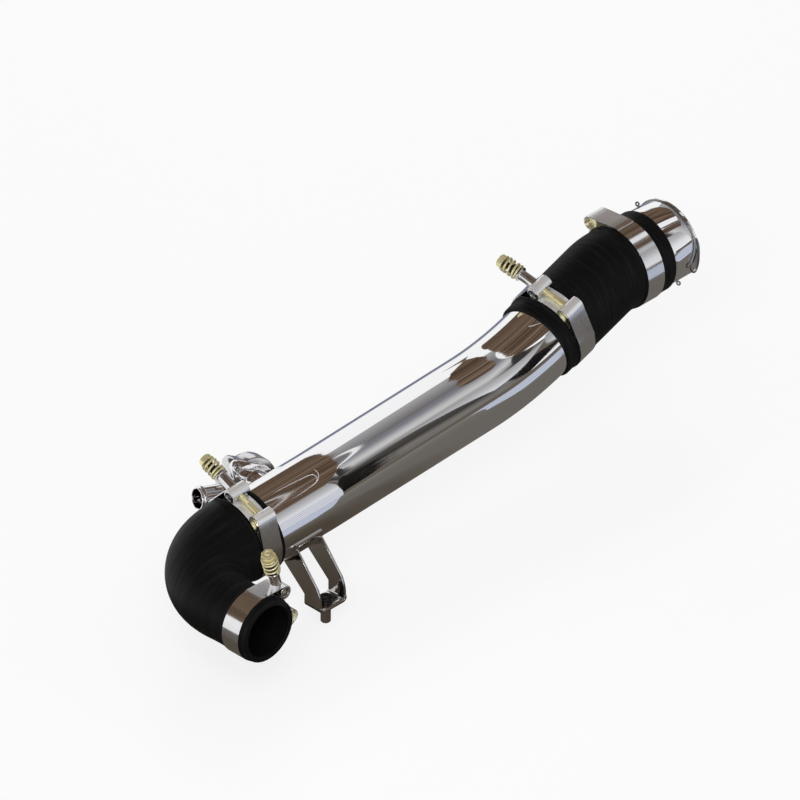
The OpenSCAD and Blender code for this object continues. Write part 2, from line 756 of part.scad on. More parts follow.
module branch_screws() {
    head_r = 3.6;
    head_h = 2.6;
    color(steel) in_branch() for (a = ear_angles) rotate([0, 0, a])
        translate([ear_reach, 0, joint_reach - joint_t - fit / 2]) union() {
            cylinder(h = joint_t + screw_grip, r = screw_r);
            translate([0, 0, -head_h]) cylinder(h = head_h, r = head_r);
        }
}

main_pipe();
elbow_hose();
coupler_hose();
clamp_band(lower_clamp);  // lower_band
clamp_bridge(lower_clamp);  // lower_bridge
clamp_trunnion(lower_clamp);  // lower_trunnion
clamp_t_bolt(lower_clamp);  // lower_t_bolt
clamp_sleeve(lower_clamp);  // lower_sleeve
clamp_spring(lower_clamp);  // lower_spring
clamp_nut(lower_clamp);  // lower_nut
clamp_band(outlet_clamp);  // outlet_band
clamp_bridge(outlet_clamp);  // outlet_bridge
clamp_trunnion(outlet_clamp);  // outlet_trunnion
clamp_t_bolt(outlet_clamp);  // outlet_t_bolt
clamp_sleeve(outlet_clamp);  // outlet_sleeve
clamp_spring(outlet_clamp);  // outlet_spring
clamp_nut(outlet_clamp);  // outlet_nut
clamp_band(upper_clamp);  // upper_band
clamp_bridge(upper_clamp);  // upper_bridge
clamp_trunnion(upper_clamp);  // upper_trunnion
clamp_t_bolt(upper_clamp);  // upper_t_bolt
clamp_sleeve(upper_clamp);  // upper_sleeve
clamp_spring(upper_clamp);  // upper_spring
clamp_nut(upper_clamp);  // upper_nut
clamp_band(connector_clamp);  // connector_band
clamp_bridge(connector_clamp);  // connector_bridge
clamp_trunnion(connector_clamp);  // connector_trunnion
clamp_t_bolt(connector_clamp);  // connector_t_bolt
clamp_sleeve(connector_clamp);  // connector_sleeve
clamp_spring(connector_clamp);  // connector_spring
clamp_nut(connector_clamp);  // connector_nut
connector_collar();
connector_seal();
wire_clip();
clip_eyes();
saddle();
bracket();
locating_stud();
branch_stub();
branch_o_ring();
branch_housing();
branch_cover();
branch_spigot();
branch_screws();
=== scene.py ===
import math

import bpy
import numpy as np
from mathutils import Matrix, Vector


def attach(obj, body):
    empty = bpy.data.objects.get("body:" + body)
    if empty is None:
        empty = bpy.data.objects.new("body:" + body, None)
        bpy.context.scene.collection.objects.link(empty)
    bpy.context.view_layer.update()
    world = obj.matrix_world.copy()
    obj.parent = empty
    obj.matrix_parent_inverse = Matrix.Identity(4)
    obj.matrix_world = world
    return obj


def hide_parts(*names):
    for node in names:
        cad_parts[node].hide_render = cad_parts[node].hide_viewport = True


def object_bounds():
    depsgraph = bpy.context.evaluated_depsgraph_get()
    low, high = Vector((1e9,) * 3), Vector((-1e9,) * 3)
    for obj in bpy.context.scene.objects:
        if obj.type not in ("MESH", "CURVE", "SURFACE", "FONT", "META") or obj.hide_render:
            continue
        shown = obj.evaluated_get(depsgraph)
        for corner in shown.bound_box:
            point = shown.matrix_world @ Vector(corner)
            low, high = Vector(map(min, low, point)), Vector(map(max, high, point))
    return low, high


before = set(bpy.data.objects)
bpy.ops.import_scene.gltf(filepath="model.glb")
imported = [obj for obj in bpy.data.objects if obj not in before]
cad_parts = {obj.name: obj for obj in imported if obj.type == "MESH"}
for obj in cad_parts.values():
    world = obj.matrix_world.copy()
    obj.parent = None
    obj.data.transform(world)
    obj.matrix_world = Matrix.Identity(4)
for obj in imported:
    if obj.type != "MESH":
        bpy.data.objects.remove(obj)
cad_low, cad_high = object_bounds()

# Camera: the photograph is a parallel view from the outlet's side, above and in front, 45 degrees
# round and 35.3 degrees up. One millimetre of the pipe is 1.08 pixels of the 800 pixel frame.
MM = 0.001
FRAME_PIXELS = 800
PIXELS_EACH_MM = 1.08
CAMERA_DISTANCE = 1600
toward_camera = np.array([1, -1, 1]) / math.sqrt(3)
picture_right = np.array([1, 1, 0]) / math.sqrt(2)
picture_up = np.array([-1, 1, 2]) / math.sqrt(6)
MIDDLE_RIGHT, MIDDLE_UP = 68.81, 188.27
picture_middle = MIDDLE_RIGHT * picture_right + MIDDLE_UP * picture_up


def linked(name, data):
    thing = bpy.data.objects.new(name, data)
    bpy.context.scene.collection.objects.link(thing)
    return thing


def set_down(name, data, axes, place):
    """Put a camera or a lamp at a place in metres; its axes point right, up and back."""
    thing = linked(name, data)
    rows = [[*row, spot] for row, spot in zip(np.array(axes).T, place)]
    thing.matrix_world = Matrix(rows + [[0, 0, 0, 1]])
    return thing


camera_data = bpy.data.cameras.new("camera")
camera_data.type = "ORTHO"
camera_data.ortho_scale = FRAME_PIXELS / PIXELS_EACH_MM * MM
bpy.context.scene.camera = set_down("camera", camera_data, [picture_right, picture_up, toward_camera],
                                    (picture_middle + CAMERA_DISTANCE * toward_camera) * MM)
bpy.context.scene.view_settings.view_transform = "Standard"

# Studio: a plain white floor under the stud's tip, two soft lamps and a white surround.
# The floor and the surround are white to the eye, to metal and to glass, and keep the shadow.
FLOOR_HEIGHT = cad_low.z - 0.0002
FLOOR_REACH = 8
FLOOR_GLOW = 0.8
SURROUND_LIGHT = 0.55
LAMPS_AIM = np.array([0, 0.15, 0.08])


class Finish:
    """The nodes of a material or of the surround, with short ways to add and to join them."""

    def __init__(self, owner):
        owner.use_nodes = True
        self.nodes, self.links = owner.node_tree.nodes, owner.node_tree.links

    def feed(self, name, inputs):
        """Give a node's inputs their constants, or join them to other nodes' outputs."""
        for socket, value in inputs.items():
            if isinstance(value, bpy.types.NodeSocket):
                self.links.new(value, self.nodes[name].inputs[socket])
            else:
                self.nodes[name].inputs[socket].default_value = value

    def add(self, kind, inputs=None, operation=None):
        node = self.nodes.new("ShaderNode" + kind)
        if operation:
            node.operation = operation
        self.feed(node.name, inputs or {})
        return node

    def reckon(self, operation, *values):
        return self.add("Math", dict(enumerate(values)), operation).outputs[0]

    def rescale(self, value, start, stop, low=0.0, high=1.0):
        """Carry the range from start to stop over to the one from low to high."""
        return self.add("MapRange", {"Value": value, "From Min": start, "From Max": stop,
                                     "To Min": low, "To Max": high}).outputs["Result"]


def new_material(name):
    material = bpy.data.materials.new(name)
    return material, Finish(material)


def seen_directly(finish):
    """1 where the eye, metal or glass looks at a surface, and 0 for the light that it throws."""
    path = finish.add("LightPath").outputs
    eye_or_metal = finish.reckon("MAXIMUM", path["Is Camera Ray"], path["Is Glossy Ray"])
    return finish.reckon("MAXIMUM", eye_or_metal, path["Is Transmission Ray"])


def oblong(x0, x1, y0, y1):
    return [(x0, y0), (x1, y0), (x1, y1), (x0, y1)]


def flat_sheet(name, plane, outline, material):
    """A sheet across axis 0, 1 or 2, at a place on that axis; the outline gives the other two."""
    axis, place = plane
    mesh = bpy.data.meshes.new(name)
    mesh.from_pydata([(*p[:axis], place, *p[axis:]) for p in outline], [], [range(len(outline))])
    mesh.materials.append(material)
    sheet = linked(name, mesh)
    return sheet


def unit(v):
    v = np.array(v, float)
    return v / np.linalg.norm(v)


floor_paint, paint = new_material("floor_paint")
paint.feed("Principled BSDF", {"Base Color": (0.9, 0.9, 0.9, 1), "Roughness": 0.9})
glow = paint.add("Emission", {"Color": (1, 1, 1, 1)})
blend = paint.add("MixShader", {0: paint.reckon("MULTIPLY", seen_directly(paint), FLOOR_GLOW),
                                1: paint.nodes["Principled BSDF"].outputs[0], 2: glow.outputs[0]})
paint.feed("Material Output", {"Surface": blend.outputs[0]})
flat_sheet("floor", (2, FLOOR_HEIGHT), oblong(-FLOOR_REACH, FLOOR_REACH, -FLOOR_REACH, FLOOR_REACH),
           floor_paint)

surround = bpy.data.worlds.new("surround")
bpy.context.scene.world = surround
air = Finish(surround)
air.feed("Background", {"Color": (1, 1, 1, 1),
                        "Strength": air.rescale(seen_directly(air), 0, 1, SURROUND_LIGHT, 1)})


def soft_lamp(name, place, width, power):
    data = bpy.data.lights.new(name, "AREA")
    data.shape = "SQUARE"
    data.size = width
    data.energy = power
    back = unit(place - LAMPS_AIM)
    side = unit(np.cross((0, 0, 1), back))
    return set_down(name, data, [side, np.cross(back, side), back], place)


soft_lamp("key_lamp", (1.2, -1.4, 2.0), 1.2, 28)
soft_lamp("back_lamp", (-1.6, 1.6, 1.6), 1.0, 14).visible_glossy = False

# Reflecting cards: polished metal shows what stands round it, so the studio has a brown mat on a
# striped floor, a wooden ceiling with a beam and lamps, a far wall and a slatted window.
# Only mirrored light meets them; the floor and the white surround stay as they are to the eye.
MAT = 2, FLOOR_HEIGHT + 0.0001
STRIPED_FLOOR = 2, FLOOR_HEIGHT + 0.00005
CEILING = 2, 1.5
CEILING_LAMPS = 2, 1.499
BEAM = 2, 0.62
BEAM_LAMP = 2, 0.619
FLAG = 2, 0.17
FAR_WALL = 1, 2.8
LOW_WALL = 1, 2.78
DOORWAY = 1, 2.75
WINDOW = 0, 3.0
NEAR_SCREEN = 0, 0.5
ALONG_X, UPWARD = (1, 0, 0), (0, 0, 1)


def grain(finish, scale, detail, stretch=None, roughness=0.5, place=None):
    """Cloudy noise over a piece, or over a given place, finer on the axes where the stretch is larger."""
    if place is None:
        place = finish.add("TexCoord").outputs["Object"]
    if stretch:
        place = finish.add("Mapping", {"Vector": place, "Scale": stretch}).outputs[0]
    return finish.add("TexNoise", {"Vector": place, "Scale": scale, "Detail": detail,
                                   "Roughness": roughness}).outputs["Fac"]


def tones(finish, value, stops):
    """Colours laid along a value, each with its place from 0 to 1."""
    node = finish.add("ValToRGB", {"Fac": value})
    ramp = node.color_ramp.elements
    for k, (spot, color) in enumerate(stops):
        stop = ramp[k] if k < 2 else ramp.new(spot)
        stop.position = spot
        stop.color = (*color, 1)
    return node.outputs["Color"]


def fade(first, last):
    return [(0.0, first), (1.0, last)]


def stripes(places, pale):
    return [(place, (0.3, 0.33, 0.42) if k % 2 else pale) for k, place in enumerate(places)]


def card(name, plane, outline, stops, span, along=None, grain_size=(1, 1, 1), grain_part=0.1):
    """A card in a plane. Its colours lie over a span in metres, along a direction or outward."""
    material, paint = new_material(name + "_paint")
    paint.nodes.remove(paint.nodes["Principled BSDF"])
    place = paint.add("NewGeometry").outputs["Position"]
    if along:
        measure = paint.add("VectorMath", {0: place, 1: along}, "DOT_PRODUCT")
    else:
        measure = paint.add("VectorMath", {0: place}, "LENGTH")
    uneven = paint.reckon("MULTIPLY_ADD", grain(paint, 1, 3, grain_size, place=place), grain_part * 2,
                          -grain_part)
    total = paint.reckon("ADD", paint.rescale(measure.outputs["Value"], *span), uneven)
    shine = paint.add("Emission", {"Color": tones(paint, total, stops)})
    paint.feed("Material Output", {"Surface": shine.outputs[0]})
    sheet = flat_sheet(name, plane, outline, material)
    sheet.visible_camera = sheet.visible_diffuse = False
    sheet.visible_shadow = sheet.visible_transmission = False


card("mat_below", MAT, [
    (-0.17, -3), (0.3, -3), (0.3, 0.02), (0.305, 0.17), (0.5, 0.3), (1.3, 0.75), (4.5, 2.6), (4.5, 3.6),
    (1.5, 1.26), (1.15, 1.03), (0.35, 0.5), (0.22, 0.47), (0.25, 0.72), (0.33, 3), (-0.2, 3)],
    [(0.0, (0.064, 0.05, 0.037)), (0.09, (0.092, 0.077, 0.06)), (0.2, (0.15, 0.137, 0.122)),
     (1.0, (0.2, 0.185, 0.17))], (0, 1.6), grain_size=(0.8, 6, 1), grain_part=0.15)
card("floor_behind", MAT, [(-1.3, 0.82), (-0.25, 0.16), (-0.2, 1.2), (-1.3, 1.6)],
     fade((0.17, 0.185, 0.25), (0.24, 0.26, 0.33)), (0, 2))
card("mat_corner", MAT, [(0.2, 0.57), (0.29, 0.575), (0.345, 0.635), (0.32, 0.66), (0.22, 0.65)],
     fade((0.12, 0.104, 0.085), (0.13, 0.112, 0.092)), (0, 1.6))
card("striped_floor", STRIPED_FLOOR, oblong(0.1, 6, -1, 4),
     stripes([(0.2 * 1.22 ** k - 0.15) / 4.1 for k in range(16)], (0.72, 0.77, 0.9)),
     (0.15, 4.25), ALONG_X, grain_part=0.001)
wood = [(0.0, (0.028, 0.017, 0.011)), (0.4, (0.10, 0.064, 0.042)), (0.65, (0.16, 0.11, 0.078)),
        (1.0, (0.26, 0.2, 0.155))]
for name, plane, grain_size, grain_part, outline in (
        ("ceiling", CEILING, (16, 0.7, 1), 0.9, [
            (-3.2, -3), (1.3, -3), (1.25, 0.8), (0.62, 0.985), (0.45, 0.975), (0.15, 0.925),
            (-0.1, 0.91), (-0.35, 0.93), (-0.72, 1.01), (-1.17, 1.15), (-1.98, 1.52), (-3.2, 2.1)]),
        ("low_beam", BEAM, (24, 2.4, 1), 0.8, [
            (-1.16, 0.99), (-0.84, 0.83), (-0.64, 0.715), (-0.49, 0.633), (-0.36, 0.578),
            (-0.26, 0.545), (-0.05, 0.522), (0.05, 0.53), (0.1, 0.55), (0.1, 0.98), (-0.1, 0.98),
            (-0.36, 1.05), (-0.72, 1.15), (-0.85, 1.0), (-1.16, 1.11)]),
        ("beam_end", BEAM, (24, 2.4, 1), 0.8, [(0.12, 0.66), (0.26, 0.67), (0.26, 1.05), (0.12, 1.02)])):
    card(name, plane, outline, wood, (-3, 3), (0.01, 0, 0), grain_size, grain_part)
card("beam_lamp", BEAM_LAMP, oblong(-0.05, 0.07, 0.665, 0.98),
     fade((0.95, 0.95, 0.96), (0.9, 0.9, 0.92)), (-1, 1), ALONG_X)
card("grey_flag", FLAG, oblong(-0.056, -0.006, -0.07, -0.018),
     fade((0.32, 0.3, 0.29), (0.26, 0.25, 0.25)), (-1, 1), ALONG_X)
card("grey_corner", CEILING, oblong(-2.6, -2.0, 2.12, 2.5),
     fade((0.34, 0.32, 0.31), (0.3, 0.28, 0.28)), (-3, 3), ALONG_X)
card("dark_beam", CEILING, [
    (0.5, 0.975), (0.67, 1.035), (1.07, 1.195), (1.25, 1.28), (1.3, 1.22), (1.1, 1.1), (0.75, 0.96)],
    fade((0.02, 0.019, 0.018), (0.06, 0.056, 0.052)), (0, 2), ALONG_X)
for name, (x0, y0), (x1, y1), width in (("long_lamp", (-0.35, 0.6), (0.75, 0.6), 0.005),
                                        ("short_lamp", (-0.3, 0.675), (0.55, 0.6), 0.005),
                                        ("high_lamp", (-0.3, 0.925), (0.5, 0.955), 0.012),
                                        ("near_lamp", (-0.25, 0.535), (0.9, 0.56), 0.005)):
    card(name, CEILING_LAMPS, [(x0, y0), (x1, y1), (x1, y1 + width), (x0, y0 + width)],
         fade((1, 1, 1), (0.9, 0.9, 0.92)), (-1, 1), ALONG_X)
card("far_wall", FAR_WALL, oblong(-2.4, 5, -0.1, 5.2), [
    (0.0, (0.4, 0.4, 0.41)), (0.2, (0.26, 0.25, 0.25)), (0.34, (0.16, 0.155, 0.16)),
    (0.46, (0.24, 0.24, 0.27)), (0.56, (0.5, 0.5, 0.5)), (0.62, (0.62, 0.62, 0.62)),
    (0.69, (0.34, 0.33, 0.33)), (0.735, (0.08, 0.075, 0.07)), (0.8, (0.05, 0.045, 0.04)),
    (0.83, (0.2, 0.19, 0.18)), (0.88, (0.13, 0.11, 0.09))], (-2.4, 5), ALONG_X, (1.6, 1, 3), 0.02)
card("low_wall", LOW_WALL, oblong(-2.4, 5, -0.1, 0.5),
     fade((0.13, 0.112, 0.09), (0.14, 0.122, 0.1)), (0, 4), UPWARD, (1.6, 1, 3), 0.03)
card("dark_doorway", DOORWAY, [
    (3.0, 3.1), (3.3, 2.45), (3.58, 1.9), (3.78, 1.2), (3.88, 0.5), (4.75, 0.5), (4.75, 1.9), (4.3, 2.7),
    (3.6, 3.2)], fade((0.004, 0.004, 0.004), (0.02, 0.018, 0.016)), (0, 4), UPWARD)
card("window_slats", WINDOW, oblong(-1.5, 1.85, 0.02, 1.3),
     stripes([k / 11 for k in range(12)], (0.97, 0.98, 1.0)), (0, 1.3), UPWARD, (1, 1, 4), 0.004)
card("pale_wall", WINDOW, [(-1.5, 1.3), (1.85, 1.3), (1.95, 2.15), (2.1, 4.2), (-1.5, 4.2)],
     [(0.0, (0.8, 0.81, 0.84)), (0.2, (0.6, 0.6, 0.62)), (0.5, (0.42, 0.42, 0.43)),
      (1.0, (0.3, 0.3, 0.3))], (1.3, 4.2), UPWARD, grain_part=0.02)
card("near_screen", NEAR_SCREEN, oblong(0.62, 1.1, 0.17, 0.7),
     [(0.0, (0.9, 0.9, 0.92)), (0.3, (0.78, 0.79, 0.82)), (0.6, (0.52, 0.52, 0.54)),
      (1.0, (0.36, 0.36, 0.36))], (0.17, 0.7), UPWARD, grain_part=0.02)

# Main pipe: a 3 inch alloy tube, 2 mm thick, bent twice on a mandrel, rolled to a bead near each
# end and polished to a mirror. The two hoses are pushed over its ends.
HOSE_GAP = 0.1
PIPE_RADIUS = 38.1
PIPE_WALL = 2.0
BEAD_HEIGHT = 1.0
BEAD_INSET = 5.0
BEAD_HALF = 4.0
GRIP_LOW = 32.0
GRIP_HIGH = 44.0
LOW_RUN, LOW_BEND = 71, 200
MIDDLE_RUN = 251
HIGH_RUN, HIGH_BEND = 45, 400
END_EDGE = 0.4


def heading(yaw, pitch):
    yaw, pitch = math.radians(yaw), math.radians(pitch)
    return np.array([math.sin(yaw) * math.cos(pitch), math.cos(yaw) * math.cos(pitch), math.sin(pitch)])


lower_dir = heading(4.6, 5.7)
middle_dir = heading(-0.4, 2.1)
upper_dir = heading(-4.1, 14.7)
along_y = np.array([0.0, 1.0, 0.0])
along_x = np.array([1.0, 0.0, 0.0])
rim_low = np.array([-59.4, -30.7, 72.2])
corner_low = rim_low + lower_dir * LOW_RUN
corner_high = corner_low + middle_dir * MIDDLE_RUN
rim_high = corner_high + upper_dir * HIGH_RUN


class Spine:
    """The centreline of a bent tube: straight runs joined by round bends at its inner corners."""

    def __init__(self, corners, bend_radii):
        self.runs = []
        start, s = corners[0], 0.0
        for before, corner, after, r in zip(corners, corners[1:], corners[2:], bend_radii):
            d_in, d_out = unit(corner - before), unit(after - corner)
            angle = math.acos(d_in @ d_out)
            back = r * math.tan(angle / 2)
            straight = np.linalg.norm(corner - start) - back
            toward = unit(d_out - (d_in @ d_out) * d_in)
            self.runs.append((s, straight, start, d_in, None, 0.0))
            s += straight
            self.runs.append((s, r * angle, corner - d_in * back, d_in, toward, r))
            s += r * angle
            start = corner + d_out * back
        straight = np.linalg.norm(corners[-1] - start)
        self.runs.append((s, straight, start, unit(corners[-1] - start), None, 0.0))
        self.length = s + straight
        self.breaks = [run[0] for run in self.runs[1:]]

    def at(self, s):
        run = [r for r in self.runs if r[0] <= s + 1e-9 or r is self.runs[0]][-1]
        s0, length, start, d, toward, r = run
        if toward is None:
            return start + d * (s - s0), d
        a = (s - s0) / r
        return (start + d * r * math.sin(a) + toward * r * (1 - math.cos(a)),
                d * math.cos(a) + toward * math.sin(a))


def stations(spine, start, stop, straight_step, bend_step):
    places = [start]
    marks = [b for b in spine.breaks if start < b < stop] + [stop]
    for mark in marks:
        bent = any(r[4] is not None and r[0] - 1e-6 <= (places[-1] + mark) / 2 <= r[0] + r[1]
                   for r in spine.runs)
        count = max(1, round((mark - places[-1]) / (bend_step if bent else straight_step)))
        places += [places[-1] + (mark - places[-1]) * i / count for i in range(1, count + 1)]
    return places


def piece_of_grid(name, grid, material, capped=False, sharp=35, along=None):
    """A closed mesh from rows of points in millimetres; each row is a loop round the piece."""
    rows, cols = grid.shape[:2]
    faces = []
    for i in range(rows - 1 if capped else rows):
        j = (i + 1) % rows
        for k in range(cols):
            m = (k + 1) % cols
            faces.append((i * cols + k, i * cols + m, j * cols + m, j * cols + k))
    points = grid.reshape(-1, 3) * MM
    a, b, c, d = (points[k] for k in np.array(faces).T)
    volume = np.einsum("ij,ij->i", a, np.cross(b, c)).sum() + np.einsum("ij,ij->i", a, np.cross(c, d)).sum()
    if capped:
        faces.append(tuple(range(cols - 1, -1, -1)))
        faces.append(tuple((rows - 1) * cols + k for k in range(cols)))
    if volume < 0:
        faces = [tuple(reversed(f)) for f in faces]
    piece = shaded_piece(name, [tuple(p) for p in points], faces, material, sharp)
    if along is not None:
        values = np.repeat(np.array(along, float), cols) * MM
        piece.data.attributes.new("along", "FLOAT", "POINT").data.foreach_set("value", values)
    return piece


def shaded_piece(name, points, faces, material, sharp=35):
    """A smooth mesh, with sharp edges where it turns by more than an angle in degrees."""
    mesh = bpy.data.meshes.new(name)
    mesh.from_pydata(points, [], faces)
    mesh.materials.append(material)
    mesh.shade_smooth()
    mesh.set_sharp_from_angle(angle=math.radians(sharp))
    return linked(name, mesh)


def fit(piece, slot, *nodes):
    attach(piece, "root")
    if nodes:
        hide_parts(*nodes)


def around(sides):
    return np.arange(sides) * 2 * math.pi / sides


def hoop(centre, d, side, r, sides):
    """Points on a circle across the direction d, from a first one on its side; and where that one lies."""
    turn = around(sides)[:, None]
    a = unit(side - (side @ d) * d)
    return centre + r * (np.cos(turn) * a + np.sin(turn) * np.cross(d, a)), a


def tube_along(name, spine, profile, side, material, sides):
    """A tube wall: its closed section, as (place along the spine, radius), goes round the spine."""
    rows = [hoop(*spine.at(s), side, r, sides)[0] for s, r in profile]
    return piece_of_grid(name, np.array(rows), material, along=[s for s, r in profile])


def bead(s, middle):
    t = abs(s - middle) / BEAD_HALF
    return BEAD_HEIGHT * (0.5 + 0.5 * math.cos(math.pi * t)) if t < 1 else 0.0


def relief(finish, height, strength, depth, under=None):
    """A bump of a depth in metres, laid over the one under it."""
    inputs = {"Height": height, "Strength": strength, "Distance": depth}
    if under:
        inputs["Normal"] = under
    return finish.add("Bump", inputs).outputs["Normal"]


polished_alloy, metal = new_material("polished_alloy")
metal.feed("Principled BSDF", {"Base Color": (0.88, 0.88, 0.89, 1), "Metallic": 1,
                               "Roughness": metal.rescale(grain(metal, 38, 6), 0.3, 0.75, 0.012, 0.05),
                               "Normal": relief(metal, grain(metal, 900, 2), 0.3, 0.0000015)})

pipe_spine = Spine([rim_low - lower_dir * GRIP_LOW, corner_low, corner_high,
                    rim_high + upper_dir * GRIP_HIGH], [LOW_BEND, HIGH_BEND])
stop = pipe_spine.length
by_bead = (1, 2, 3, 5, 6, 7, 9)
places = set(stations(pipe_spine, 0, stop, 4, 3)[1:-1] + [*by_bead] + [stop - k for k in by_bead])
outside = [(0, PIPE_RADIUS - END_EDGE), (END_EDGE, PIPE_RADIUS)]
outside += [(s, PIPE_RADIUS + bead(s, BEAD_INSET) + bead(s, stop - BEAD_INSET)) for s in sorted(places)]
outside += [(stop - END_EDGE, PIPE_RADIUS), (stop, PIPE_RADIUS - END_EDGE)]
inside = [(s, PIPE_RADIUS - PIPE_WALL) for s in reversed(stations(pipe_spine, 0, stop, 20, 8))]
pipe = tube_along("main_tube", pipe_spine, outside + inside, along_x, polished_alloy, 160)
fit(pipe, "polished_alloy", "main_pipe")

# Elbow hose: black silicone wrapped on a mandrel, so fine lines of its wrapping cloth run round it.
# It turns 90 degrees from the pipe to the outlet, narrows on the way and has 5 mm walls.
ELBOW_RADIUS = 41.5
OUTLET_RADIUS = 31.8
OUTLET_BORE = 26.3
ELBOW_BEND = 62.0
OUTLET_CUFF = 38.0
HOSE_EDGE = 1.2
BAND_WIDTH = 21.0
UNDER_BAND = 0.42
SWELL = 1.0
SWELL_HALF = 1.6
LOWER_BAND_AT = 16.0
OUTLET_BAND_AT = 18.0
BORE_CHAMFER = 0.5
ELBOW_RUN, OUTLET_RUN = 101.7, 124.6

elbow_back = -lower_dir
elbow_corner = rim_low + elbow_back * ELBOW_RUN
rim_outlet = elbow_corner + along_x * OUTLET_RUN


def silicone(name, streaks, lines_each_metre, depth):
    """Black silicone: broken fine streaks from its wrapping, and rings along the hose where they show."""
    material, rubber = new_material(name)
    length = rubber.add("Attribute")
    length.attribute_name = "along"
    streak = grain(rubber, 1, 4, streaks, 0.62)
    turn = rubber.reckon("MULTIPLY", length.outputs["Fac"], lines_each_metre * 2 * math.pi)
    rings = relief(rubber, rubber.reckon("SINE", turn), 0.5, depth)
    rubber.feed("Principled BSDF", {
        "Base Color": tones(rubber, streak, [(0.5, (0.0024, 0.0024, 0.0026)),
                                             (0.72, (0.0095, 0.0095, 0.0099))]),
        "Specular IOR Level": 0.13, "Roughness": rubber.rescale(streak, 0.35, 0.7, 0.62, 0.5),
        "Normal": relief(rubber, streak, 0.5, 0.0004, rings)})
    return material


def rounded_rim(s, r, sign):
    """Points round a hose's outer edge, from its end face to its outside."""
    return [(s + sign * HOSE_EDGE * (1 - math.cos(t)), r - HOSE_EDGE * (1 - math.sin(t)))
            for t in (math.pi / 2 * i / 4 for i in range(5))]


def smooth(t):
    t = min(max(t, 0), 1)
    return t * t * (3 - 2 * t)


def squeeze(s, clamps):
    """How much the hose fills the band's lift and swells beside it, in millimetres."""
    lift = 0.0
    for middle in clamps:
        beside = abs(s - middle) - BAND_WIDTH / 2
        if beside < 0:
            lift += UNDER_BAND
        elif beside < 2 * SWELL_HALF:
            lift += SWELL * smooth(1 - abs(beside - SWELL_HALF) / SWELL_HALF)
    return lift


def hose_piece(name, spine, outer, bore, cuffs, clamps, side_dir, material):
    """A hose wall. Its radii, outside and inside, run from a first to a last between its two cuffs."""
    def radius(s, ends):
        return ends[0] + (ends[1] - ends[0]) * smooth((s - cuffs[0]) / (cuffs[1] - cuffs[0]))

    stop, face = spine.length, HOSE_EDGE + 0.6
    fine = [m + side * (BAND_WIDTH / 2 + x) for m in clamps for side in (-1, 1)
            for x in (-0.5, 0.05, 0.4, 0.8, 1.2, 1.6, 2.0, 2.4, 2.8, 3.2)]
    places = set(stations(spine, face, stop - face, 4, 2.5) + [s for s in fine if face < s < stop - face])
    outside = rounded_rim(0, outer[0], 1)
    outside += [(s, radius(s, outer) + squeeze(s, clamps)) for s in sorted(places)]
    outside += reversed(rounded_rim(stop, outer[1], -1))
    inside = [(s, radius(s, bore)) for s in reversed(stations(spine, 0.5, stop - 0.5, 8, 4))]
    inside = [(stop, bore[1] + BORE_CHAMFER)] + inside + [(0, bore[0] + BORE_CHAMFER)]
    return tube_along(name, spine, outside + inside, side_dir, material, 128)


elbow_silicone = silicone("elbow_silicone", (420, 16, 16), 420, 0.00001)
elbow_spine = Spine([rim_low, elbow_corner, rim_outlet], [ELBOW_BEND])
elbow = hose_piece("elbow_silicone_hose", elbow_spine, (ELBOW_RADIUS, OUTLET_RADIUS),
                   (PIPE_RADIUS + HOSE_GAP, OUTLET_BORE), (GRIP_LOW + 1, elbow_spine.length - OUTLET_CUFF),
                   (LOWER_BAND_AT, elbow_spine.length - OUTLET_BAND_AT), np.cross(elbow_back, along_x),
                   elbow_silicone)
fit(elbow, "black_silicone", "elbow_hose")

# Coupler hose: black silicone wrapped on a mandrel like the elbow, with a shallow bend. It is pushed
# over the pipe's high end and the connector's tail, and a clamp holds each end.
COUPLER_RADIUS = 40.8
UPPER_BAND_AT = 25.0
CONNECTOR_BAND_AT = 27.5
COUPLER_RUN, COUPLER_BEND, CONNECTOR_RUN = 99, 60, 55.2
coupler_corner = rim_high + upper_dir * COUPLER_RUN
rim_connector = coupler_corner + along_y * CONNECTOR_RUN
coupler_silicone = silicone("coupler_silicone", (30, 520, 30), 520, 0.00003)
coupler_spine = Spine([rim_high, coupler_corner, rim_connector], [COUPLER_BEND])
coupler = hose_piece("coupler_silicone_hose", coupler_spine, (COUPLER_RADIUS, COUPLER_RADIUS),
                     (PIPE_RADIUS + HOSE_GAP, PIPE_RADIUS + HOSE_GAP), (0, coupler_spine.length),
                     (UPPER_BAND_AT, coupler_spine.length - CONNECTOR_BAND_AT), along_x, coupler_silicone)
fit(coupler, "black_silicone", "coupler_hose")

# Clamps: four stainless T-bolt clamps. Each band is one strip whose ends fold back as loops and are
# spot-welded down; a thin bridge strip closes the gap between the loops.
BAND_THICK = 0.8
LOOP_RADIUS = 7.0
BOLT_RADIUS = 3.175
BRIDGE_THICK = 0.4
PAD_GAP = 0.06
PAD_ANGLE = math.radians(8)
LOOP_TOP = 1.55
BAR_RADIUS = LOOP_RADIUS - BAND_THICK - HOSE_GAP
BAR_BORE = 3.9
HEAD_HALF = 7.0


def seat(place, z_dir, x_dir):
    """Axes of a piece's own frame as rows, and its place, in millimetres."""
    z = unit(z_dir)
    y = unit(np.cross(z, x_dir))
    return np.array([np.cross(y, z), y, z]), np.array(place, float)


def placed(points, at):
    return np.asarray(points, float) @ at[0] + at[1]


def shifted(at, *offset):
    return at[0], placed(offset, at)


def ring(r, z, turn):
    """Points round z. Each argument is one number, or one for each point."""
    return np.stack(np.broadcast_arrays(r * np.cos(turn), r * np.sin(turn), z), 1)


def turned_piece(name, profile, at, material, sides=64, sharp=30, capped=False):
    """Rings of (radius, height) round the z of its frame, closed on themselves or with capped ends."""
    grid = np.array([ring(r, z, around(sides)) for r, z in profile])
    return piece_of_grid(name, placed(grid, at), material, capped, sharp)


def polar(r, a):
    return np.array([r * math.cos(a), r * math.sin(a)])


